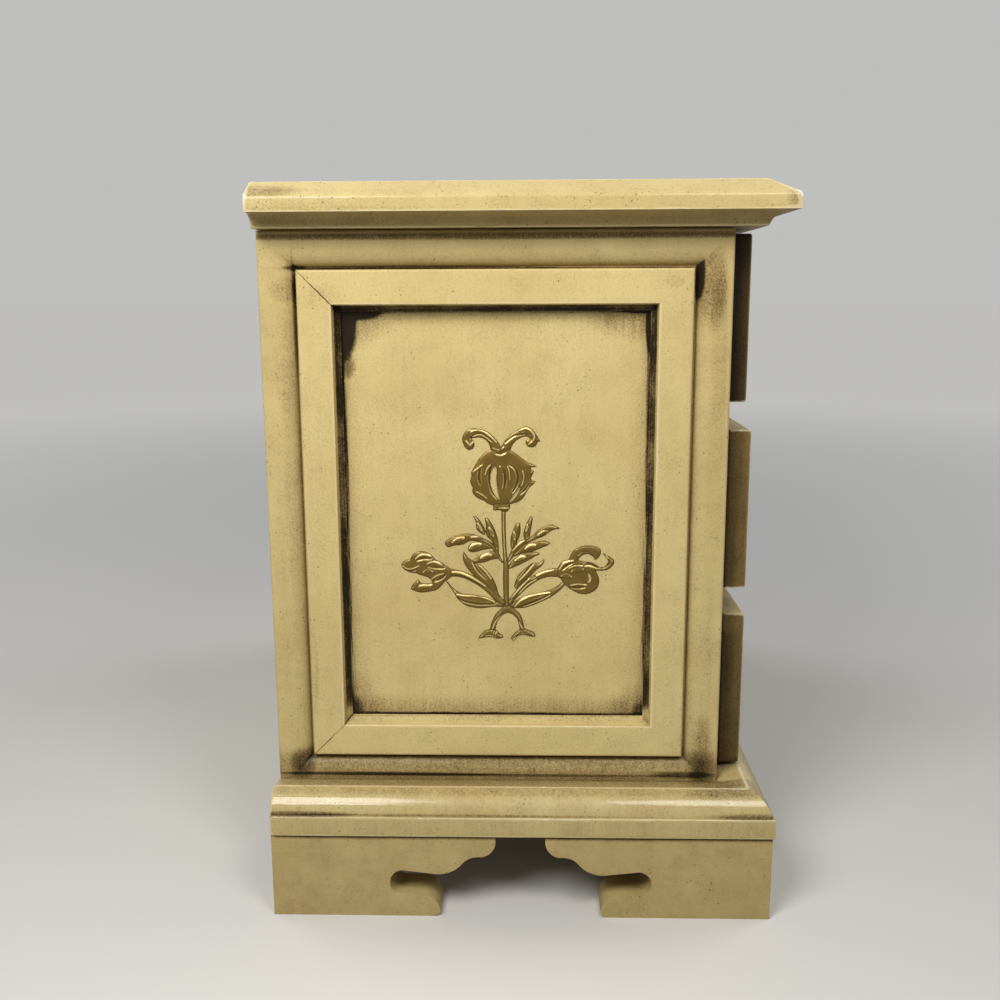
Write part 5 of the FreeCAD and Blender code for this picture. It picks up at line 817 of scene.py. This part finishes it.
RIDGES = (
    (0.55, (-2.9, 19.3), (-4.2, 18.1), (-4.7, 16.4)),
    (0.5, (1.3, 18.6), (1.8, 17.1), (1.9, 15)),
    (0.6, (5.3, 17.4), (5.7, 15.7), (5.3, 14), (4.3, 12.3)),
    (0.45, (-5.4, 19.1), (-6.8, 18), (-7.9, 17.2)),
    (0.5, (-7.1, 11.8), (-5.6, 11.1), (-4.3, 10)),
    (0.45, (-2.5, 23.6), (-1, 22.8), (0.4, 23.8)),
    (0.5, (-1.2, 7.3), (1.7, 7.3)),
    (0.6, (-8.4, 27.9), (-6.7, 28.5), (-5, 28.1), (-3.1, 26.7), (-1.6, 25.1)),
    (0.55, (4.5, 28.3), (6, 28.9), (7.3, 28.4), (8.5, 27), (8.2, 25.5), (6.8, 24.5)),
    (0.7, (-9.7, 25.5), (-8.7, 24.3), (-7.7, 25.2)),
    (0.5, (-8.7, -0.7), (-6.8, -0.5), (-4.5, -1), (-2.6, -2.3), (-1.5, -4.3)),
    (0.7, (-6.7, -8.2), (-4.8, -10), (-3.3, -12.2)),
    (0.5, (-14.3, -10.5), (-12.2, -10.4), (-9.9, -11.2), (-7.3, -12.6), (-4.8, -14.3)),
    (0.6, (-23.8, -6.7), (-22.6, -5.7), (-21.1, -5.5), (-19.4, -6)),
    (0.5, (-27.4, -8.7), (-25.9, -9.6), (-24.4, -9.4), (-22.7, -8.6)),
    (0.55, (-20.6, -8), (-19.2, -7.5), (-17.9, -7.7), (-16.6, -8.4)),
    (0.5, (-19.5, -12.4), (-18.1, -11.3), (-16.2, -10.8)),
    (0.5, (-12.9, -16.7), (-10.4, -17.1), (-7.5, -17), (-5, -17.5), (-2.4, -18.7)),
    (0.5, (2.5, -4.5), (4.3, -2.5), (7.1, -0.6)),
    (0.5, (3.8, -11.6), (4.9, -9.9), (7.1, -8.3)),
    (0.5, (2.3, -17.5), (4.9, -14.3), (7.1, -12.1)),
    (0.55, (9, -11.4), (11.2, -10.3), (13.5, -9.8)),
    (0.55, (15.2, -9.6), (16.3, -7.7), (19.1, -7.1)),
    (0.45, (17.7, -9.3), (19.3, -8.5), (21.5, -8.6)),
    (0.5, (18.2, -14), (20.3, -13.6), (22.8, -13.9)),
    (0.5, (27.3, -8.5), (28.6, -7.4), (27.9, -5.8)),
    (0.5, (3, -20.1), (4.9, -18.1), (8, -16.8), (12.7, -16.1)),
    (0.55, (-3.2, -27.1), (-2.1, -24.1), (0.1, -22), (1.8, -21.8), (3.8, -23.8), (5.4, -26.5)),
    (0.5, (-6.3, -29.5), (-4, -28), (-1.4, -29.2)),
    (0.5, (2.6, -29.5), (5, -27.4), (8.1, -28.9)),
)
GROOVES = (
    (0.5, (-5.9, 18.3), (-6.3, 16.6), (-6.3, 14.9), (-5.9, 13.7)),
    (0.5, (-3, 19.2), (-3.6, 16.6), (-3.5, 14), (-2.7, 11.4), (-1.5, 10)),
    (0.5, (0.5, 17.6), (0.8, 15.7), (0.4, 13)),
    (0.55, (1.7, 19.2), (3.1, 18.5), (4, 16.9), (4.1, 14.9), (3.4, 13), (2.5, 11.6)),
    (0.45, (6.8, 13.8), (6, 12.3), (4.6, 11.2)),
    (0.5, (-1.8, 22.2), (-0.5, 22), (0.6, 22.4)),
    (0.45, (-8.6, 26.3), (-7.5, 27.3), (-5.8, 27.6), (-4.5, 27), (-2.8, 25.5)),
    (0.45, (0.7, 25.1), (2.3, 26.5), (3.6, 27.1), (5.3, 27.4), (7, 27)),
    (0.45, (-8, -7.7), (-6.9, -10), (-4.6, -12.2)),
    (0.4, (-14.1, -11.3), (-11.3, -11.5), (-8.4, -12.6), (-5.6, -14.5)),
    (0.5, (-23.4, -7.1), (-21.7, -6.5), (-19.4, -6.6)),
    (0.4, (-26.9, -10), (-25.2, -10.2), (-23.6, -9.7)),
    (0.5, (-20.4, -8.7), (-18.5, -9.1), (-16, -9.2)),
    (0.5, (-18.7, -12.9), (-17, -12.3), (-15.8, -11.2)),
    (0.5, (-12.9, -17.4), (-11.3, -18.3), (-8.5, -19.1), (-5, -19.4), (-2.2, -19.2)),
    (0.45, (4.3, -12.3), (6, -10.3), (7.9, -8.1)),
    (0.4, (4.1, -16.1), (6.4, -13.4), (9, -12.1)),
    (0.6, (16.1, -9.5), (17.2, -8.5), (18.6, -7.8)),
    (0.6, (18.5, -14.6), (20.3, -14.6), (22.2, -14.4)),
    (0.6, (21.9, -8.3), (23.4, -8), (25.6, -9.1)),
    (0.55, (3.2, -20.6), (6.4, -19.4), (9.9, -18), (12.7, -16.5)),
    (0.35, (-2.4, -27.7), (-1.1, -24.4), (0.8, -23.2)),
)

# The relief's grid and half its extent, heights over the panel, and the panel's face: all in millimetres.
RELIEF_PITCH, RELIEF_REACH = 0.2, 32
PANEL_FACE = 105.5
RELIEF_RIM, RELIEF_BODY, RELIEF_TOP = 0.14, 0.40, 0.68

# Each kind of stroke: its lines, how far it rises, and how much narrower it is than its line says.
STROKE_HEIGHTS = ((BEADS, 0.15, 0.75), (RIDGES, 0.17, 0.62), (GROOVES, -0.24, 0.7))


def eased(points, closed=True, rounds=2):
    """Cuts the corners of an outline or line, but keeps its ends and sharp tips."""
    for _ in range(rounds):
        finer = []
        for i, here in enumerate(points):
            before, after = Vector(points[i - 1]), Vector(points[(i + 1) % len(points)])
            here = Vector(here)
            end = not closed and i in (0, len(points) - 1)
            if end or (here - before).angle(after - here, 0) > math.radians(78):
                finer.append(here)
            else:
                finer += [here.lerp(before, 0.25), here.lerp(after, 0.25)]
        points = finer
    return points


def distance_to(line, across, up, closed):
    """Distance of each place to a line, how far along it that is, from 0 to 1, and whether it is enclosed."""
    distance, share = np.full(across.shape, 99.0), np.zeros(across.shape)
    within = np.zeros(across.shape, bool)
    ends = line[1:] + line[:1] if closed else line[1:]
    for i, (a, b) in enumerate(zip(line, ends)):
        run = b - a
        t = np.clip(((across - a.x) * run.x + (up - a.y) * run.y) / max(run.length_squared, 1e-9), 0, 1)
        away = np.hypot(across - a.x - t * run.x, up - a.y - t * run.y)
        share = np.where(away < distance, (i + t) / len(ends), share)
        distance = np.minimum(distance, away)
        if a.y != b.y:
            crossing = a.x + (up - a.y) * run.x / run.y
            within ^= ((a.y > up) != (b.y > up)) & (across < crossing)
    return distance, share, within


class Relief:
    """The spray as heights over a fine grid."""

    def __init__(self):
        steps = np.arange(-RELIEF_REACH, RELIEF_REACH + 0.01, RELIEF_PITCH * (1))
        self.across, self.up = np.meshgrid(steps, steps)
        self.steps = steps
        self.depth = np.full(self.across.shape, -9.0)
        self.height = np.zeros(self.across.shape)
        self.edge = np.zeros(self.across.shape)
        for outline in SPRAY.values():
            self.add_leaf(eased(outline))
        for outline in SPRAY_GAPS.values():
            spot, across, up = self.around(outline)
            distance, _, within = distance_to(eased(outline), across, up, True)
            self.depth[spot] = np.minimum(self.depth[spot], np.where(within, -distance, distance))
        for strokes, rise, narrowed in STROKE_HEIGHTS:
            for width, *line in strokes:
                self.add_stroke(width * narrowed, line, rise, strokes is BEADS)
        self.height = np.clip(self.height, RELIEF_RIM * 0.6, RELIEF_TOP)
        # Slopes that face up are marked for a painted highlight, and those that face down for painted shade,
        # besides the crests rubbed bright and the hollows dark.
        tilt = -np.gradient(self.height, steps, axis=0)
        bend = -np.gradient(np.gradient(self.height, steps, axis=0), steps, axis=0)
        bend -= np.gradient(np.gradient(self.height, steps, axis=1), steps, axis=1)
        inner = np.clip(self.depth / 0.35, 0, 1)
        self.crest = np.clip(inner * (bend * 0.35 + tilt * 0.7), 0, 1)
        self.edge = np.maximum(self.edge, np.clip(inner * (-bend * 0.3 - tilt * 0.3), 0, 0.9))

    def around(self, line, margin=1.5):
        """The part of the grid about a line."""
        found = []
        for axis in (1, 0):
            low, high = min(p[axis] for p in line) - margin, max(p[axis] for p in line) + margin
            found.append(slice(*np.searchsorted(self.steps, (low, high))))
        spot = tuple(found)
        return spot, self.across[spot], self.up[spot]

    def add_leaf(self, outline):
        spot, across, up = self.around(outline)
        distance, _, within = distance_to(outline, across, up, True)
        depth = np.where(within, distance, -distance)
        crown = RELIEF_RIM + (RELIEF_BODY - RELIEF_RIM) * (1 - np.exp(-np.maximum(depth, 0) / 0.5))
        crown += 0.09 * np.clip(depth / 1.6, 0, 1)
        higher = crown * (depth > 0) > self.height[spot]
        seam = np.exp(-(depth / 0.3) ** 2)
        edge = np.where(higher, 0, self.edge[spot])
        self.edge[spot] = np.where(depth > 0, np.maximum(edge, seam), self.edge[spot])
        self.height[spot] = np.where(higher, crown, self.height[spot])
        self.depth[spot] = np.maximum(self.depth[spot], depth)

    def add_stroke(self, width, line, rise, is_bead):
        line = eased(line, closed=False)
        spot, across, up = self.around(line, 3.0)
        distance, share, _ = distance_to(line, across, up, False)
        half = width * (0.5 + 0.5 * np.sin(math.pi * share) ** 0.6)
        if is_bead:
            form = np.sqrt(np.clip(1 - (distance / half) ** 2, 0, 1))
            self.edge[spot] = np.maximum(self.edge[spot], 0.9 * np.exp(-((distance - half) / 0.16) ** 2))
        else:
            form = np.exp(-(distance / (half * 0.8)) ** 2)
            dark = form if rise < 0 else 0.55 * np.exp(-((distance - half * 1.5) / 0.25) ** 2)
            self.edge[spot] = np.maximum(self.edge[spot], dark)
        self.height[spot] += rise * form

    def mesh(self, face, outward):
        """The relief on a panel at x = face, with its back just inside the paint."""
        bm = bmesh.new()
        marks = {name: bm.verts.layers.float.new(name) for name in ("crest", "edge")}
        made = {}

        def vertex(across, up, height, crest, edge, key):
            if key not in made:
                place = Vector((face, SPRAY_MIDDLE[0] - across, SPRAY_MIDDLE[1] + up))
                front, back = place.copy(), place.copy()
                front.x += outward * height
                back.x -= outward * 0.02
                pair = bm.verts.new(front * MM), bm.verts.new(back * MM)
                pair[0][marks["crest"]] = crest
                pair[0][marks["edge"]] = edge
                pair[1][marks["edge"]] = 1.0
                made[key] = pair
            return made[key]

        depth = self.depth
        filled = depth > 0
        cells = filled[:-1, :-1] | filled[1:, :-1] | filled[:-1, 1:] | filled[1:, 1:]
        for i, j in zip(*np.nonzero(cells)):
            ring = []
            corners = [(i, j), (i, j + 1), (i + 1, j + 1), (i + 1, j)]
            for here, there in zip(corners, corners[1:] + corners[:1]):
                if filled[here]:
                    ring.append(vertex(self.across[here], self.up[here], self.height[here], self.crest[here],
                                       self.edge[here], here))
                if filled[here] != filled[there]:
                    a, b = sorted((here, there))
                    t = min(0.92, max(0.08, depth[a] / (depth[a] - depth[b])))
                    across = self.across[a] + t * (self.across[b] - self.across[a])
                    up = self.up[a] + t * (self.up[b] - self.up[a])
                    ring.append(vertex(across, up, RELIEF_RIM, 0.0, 1.0, (a, b)))
            if len(ring) > 2:
                bm.faces.new([pair[0] for pair in ring])
                bm.faces.new([pair[1] for pair in reversed(ring)])
                for a, b in zip(ring, ring[1:] + ring[:1]):
                    bm.edges.get((a[0], b[0])).tag = True
        partner = {front: back for front, back in made.values()}
        for e in [e for e in bm.edges if e.tag and len(e.link_faces) == 1]:
            a, b = e.verts
            bm.faces.new([a, b, partner[b], partner[a]])
        bmesh.ops.recalc_face_normals(bm, faces=bm.faces)
        sharp_from(bm, 50)
        return bm


SPRAY_RELIEF = Relief()
piece("ornament_left_relief", SPRAY_RELIEF.mesh(-PANEL_FACE, -1), GILT, "ornament_left")
piece("ornament_right_relief", SPRAY_RELIEF.mesh(PANEL_FACE, 1), GILT, "ornament_right")


# Velvet over thin boards, the ring rolls and the mirror.


def covered(node, rounding, pitch=3.0, unevenness=0.12):
    """A board covered with velvet: soft edges, and faces that are a little uneven."""
    bm, _ = worked(node, pitch, rounding, 3)
    for v in bm.verts:
        rough = noise.noise(v.co / (9 * MM)) * 0.5 + 0.5
        v.co -= v.normal * unevenness * MM * rough
    return piece(node + "_velvet", bm, VELVET, node)


covered("tray_lining", 0.5)
covered("tray_divider_long", 1.1, 2.5, 0.2)
covered("tray_dividers_short", 0.9, 2.5, 0.2)
covered("lid_lining", 0.5, 4.0)
covered("lower_drawer_lining", 0.45, 4.0)
covered("upper_drawer_lining", 0.45, 4.0)
covered("movement_cover", 0.7, 3.0)

# The ring rolls: how many and the gap between two, points round and along each, the lengths over which an end
# closes and gathers, how far its middle stands out, and how square the section is. Lengths in millimetres.
ROLL_COUNT, ROLL_GAP = 4, 0.35
AROUND, ALONG = 40, 60
END_CLOSES, END_GATHERS, END_OUT = 4.5, 3.0, 0.8
SECTION = 0.8


def ring_rolls():
    """Stuffed velvet rolls side by side, flat underneath, with gathered ends."""
    (x0, y0, z0), (x1, y1, z1) = ((c / MM for c in corner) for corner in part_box("ring_rolls"))
    pitch = (y1 - y0) / ROLL_COUNT
    half, height = pitch / 2 - ROLL_GAP, z1 - z0
    bm = bmesh.new()
    for roll in range(ROLL_COUNT):
        centre = y0 + pitch * (roll + 0.5)
        rings = []
        for i in range(ALONG + 1):
            t = i / ALONG
            to_end = min(t, 1 - t) * (x1 - x0)
            closing = math.sqrt(1 - max(0.0, 1 - to_end / END_CLOSES) ** 2)
            ring = []
            for j in range(AROUND):
                turn = 2 * math.pi * j / AROUND
                c, s = math.cos(turn), math.sin(turn)
                place = Vector((t * 7, roll * 5 + c, s))
                gather = 1 - (0.06 + 0.05 * math.sin(9 * turn + roll)) * math.exp(-to_end / END_GATHERS)
                swell = (0.965 + 0.035 * noise.noise(place)) * gather
                size = swell * (0.35 + 0.65 * closing)
                wide = math.copysign(abs(c) ** SECTION, c) * half * size
                tall = math.copysign(abs(s) ** SECTION, s) * height / 2 * size
                ring.append(bm.verts.new(Vector((x0 + t * (x1 - x0), centre + wide,
                                                 max(z0, z0 + height / 2 + tall))) * MM))
            rings.append(ring)
        for first, second in zip(rings, rings[1:]):
            for j in range(AROUND):
                k = (j + 1) % AROUND
                bm.faces.new((first[j], first[k], second[k], second[j]))
        for ring, way in ((rings[0], -1), (rings[-1], 1)):
            hub = sum((v.co for v in ring), Vector()) / AROUND
            middle = bm.verts.new(hub - Vector((way * END_OUT * MM, 0, 0)))
            for j in range(AROUND):
                bm.faces.new((ring[j], ring[(j + 1) % AROUND], middle))
    bmesh.ops.recalc_face_normals(bm, faces=bm.faces)
    rolls = piece("ring_rolls_velvet", bm, VELVET, "ring_rolls")


ring_rolls()


# The bevel ground round the mirror: its width and its depth at the rim.
BEVEL_WIDTH = 5 * MM
BEVEL_DEPTH = 0.8 * MM


def mirror():
    """The mirror with a bevel ground all round its face."""
    bm = clean_solid("lid_mirror")
    face = min(bm.faces, key=lambda f: f.normal.z)
    bmesh.ops.inset_individual(bm, faces=[face], thickness=BEVEL_WIDTH, depth=0)
    low = face.calc_center_median().z
    kept = set(face.verts)
    for v in bm.verts:
        if v not in kept and abs(v.co.z - low) < 0.01 * MM:
            v.co.z += BEVEL_DEPTH
    bm.normal_update()
    for e in bm.edges:
        e.smooth = False
    piece("lid_mirror_glass", bm, GLASS, "lid_mirror")


mirror()


# The other solids keep their shapes and take a finish.

KEPT = (
    (WOOD, ("bottom_board", "lower_shelf", "upper_shelf", "lower_drawer_sides", "lower_drawer_back",
            "lower_drawer_bottom", "upper_drawer_sides", "upper_drawer_back", "upper_drawer_bottom")),
    (BRASS, ("fixed_front_knobs", "lower_drawer_knobs", "upper_drawer_knobs", "hinge_case_leaves",
             "hinge_lid_leaves", "hinge_pins", "hinge_case_screws", "hinge_lid_screws", "drive_wheel",
             "cylinder", "governor_wheel", "winding_key")),
    (GILT_IRON, ("movement_bedplate", "spring_barrel", "governor_frame")),
    (STEEL, ("mainspring", "comb", "governor_fan", "stop_lever", "movement_screws")),
)
for finish, names in KEPT:
    for name in names:
        mesh = nodes[name].data
        mesh.materials.clear()
        mesh.materials.append(finish)


# The floor, the light and the camera.


# How far off the floor turns into its own pale tint, in millimetres.
FLOOR_FADES = (350, 1400)


def pale_floor(colour, seen):
    """A matt floor: darker to the light that it throws back, paler to the camera, with the object's shadow.
    Far off, where the lamps don't reach, it shows its own pale tint."""
    f = Finish("pale_floor")
    cloud = f.noise(400, 2)
    shown = f.add("ShaderNodeLightPath", output="Is Camera Ray")
    away = f.add("ShaderNodeVectorMath", {"operation": "LENGTH"}, {0: f.place}, "Value")
    far = away.step(*FLOOR_FADES) * shown
    mottled = f.mix(cloud, seen, tuple(c * 0.97 for c in seen))
    return f.done(Base_Color=f.mix(far, f.mix(shown, colour, mottled), (0.1, 0.1, 0.1)),
                  Emission_Color=f.mix(far, (0, 0, 0), (0.47, 0.465, 0.45)), Emission_Strength=1.0,
                  Specular_IOR_Level=0.1, Roughness=0.85)


bpy.ops.mesh.primitive_plane_add(size=30, location=(0, 0, 0))
floor = bpy.context.object
floor.name = "floor"
floor.data.materials.append(pale_floor((0.40, 0.38, 0.35), (0.66, 0.65, 0.63)))

world = bpy.data.worlds.new("studio")
bpy.context.scene.world = world
world.use_nodes = True
tree = world.node_tree
tree.nodes.clear()
path = tree.nodes.new("ShaderNodeLightPath")
lit = tree.nodes.new("ShaderNodeBackground")
lit.inputs["Color"].default_value = (0.92, 0.96, 1.0, 1)
lit.inputs["Strength"].default_value = 0.24
shown = tree.nodes.new("ShaderNodeBackground")
shown.inputs["Color"].default_value = (0.52, 0.52, 0.51, 1)
shown.inputs["Strength"].default_value = 1.0
either = tree.nodes.new("ShaderNodeMath")
either.operation = "MAXIMUM"
tree.links.new(path.outputs["Is Camera Ray"], either.inputs[0])
tree.links.new(path.outputs["Is Glossy Ray"], either.inputs[1])
blend = tree.nodes.new("ShaderNodeMixShader")
tree.links.new(either.outputs[0], blend.inputs[0])
tree.links.new(lit.outputs[0], blend.inputs[1])
tree.links.new(shown.outputs[0], blend.inputs[2])
tree.links.new(blend.outputs[0], tree.nodes.new("ShaderNodeOutputWorld").inputs["Surface"])


def lamp(name, power, size, place, target, tint=(1, 1, 1)):
    data = bpy.data.lights.new(name, "AREA")
    data.energy, data.shape, data.size, data.color = power, "DISK", size, tint
    made = bpy.data.objects.new(name, data)
    made.location = place
    made.rotation_euler = (Vector(target) - Vector(place)).to_track_quat("-Z", "Y").to_euler()
    bpy.context.scene.collection.objects.link(made)


lamp("key_light", 1.35, 0.2, (-0.38, 0.15, 0.37), (-0.11, 0, 0.12), (1, 0.98, 0.94))
lamp("second_light", 0.55, 0.14, (-0.36, -0.13, 0.39), (-0.11, -0.02, 0.12), (1, 0.98, 0.94))
lamp("front_light", 4.5, 0.8, (0.35, -1.0, 0.8), (0, 0, 0.1))
lamp("back_light", 5.0, 0.9, (0.5, 1.0, 0.9), (0, 0, 0.1))

camera_data = bpy.data.cameras.new("camera")
camera_data.sensor_width = 36
camera_data.lens = 38.746
camera_data.clip_start = 0.01
camera = bpy.data.objects.new("camera", camera_data)
camera.location = (-0.388574, -0.007544, 0.166099)
camera.rotation_euler = [math.radians(a) for a in (79.14547, 0.26515, -88.5303)]
bpy.context.scene.collection.objects.link(camera)
bpy.context.scene.camera = camera
bpy.context.scene.view_settings.view_transform = "Standard"
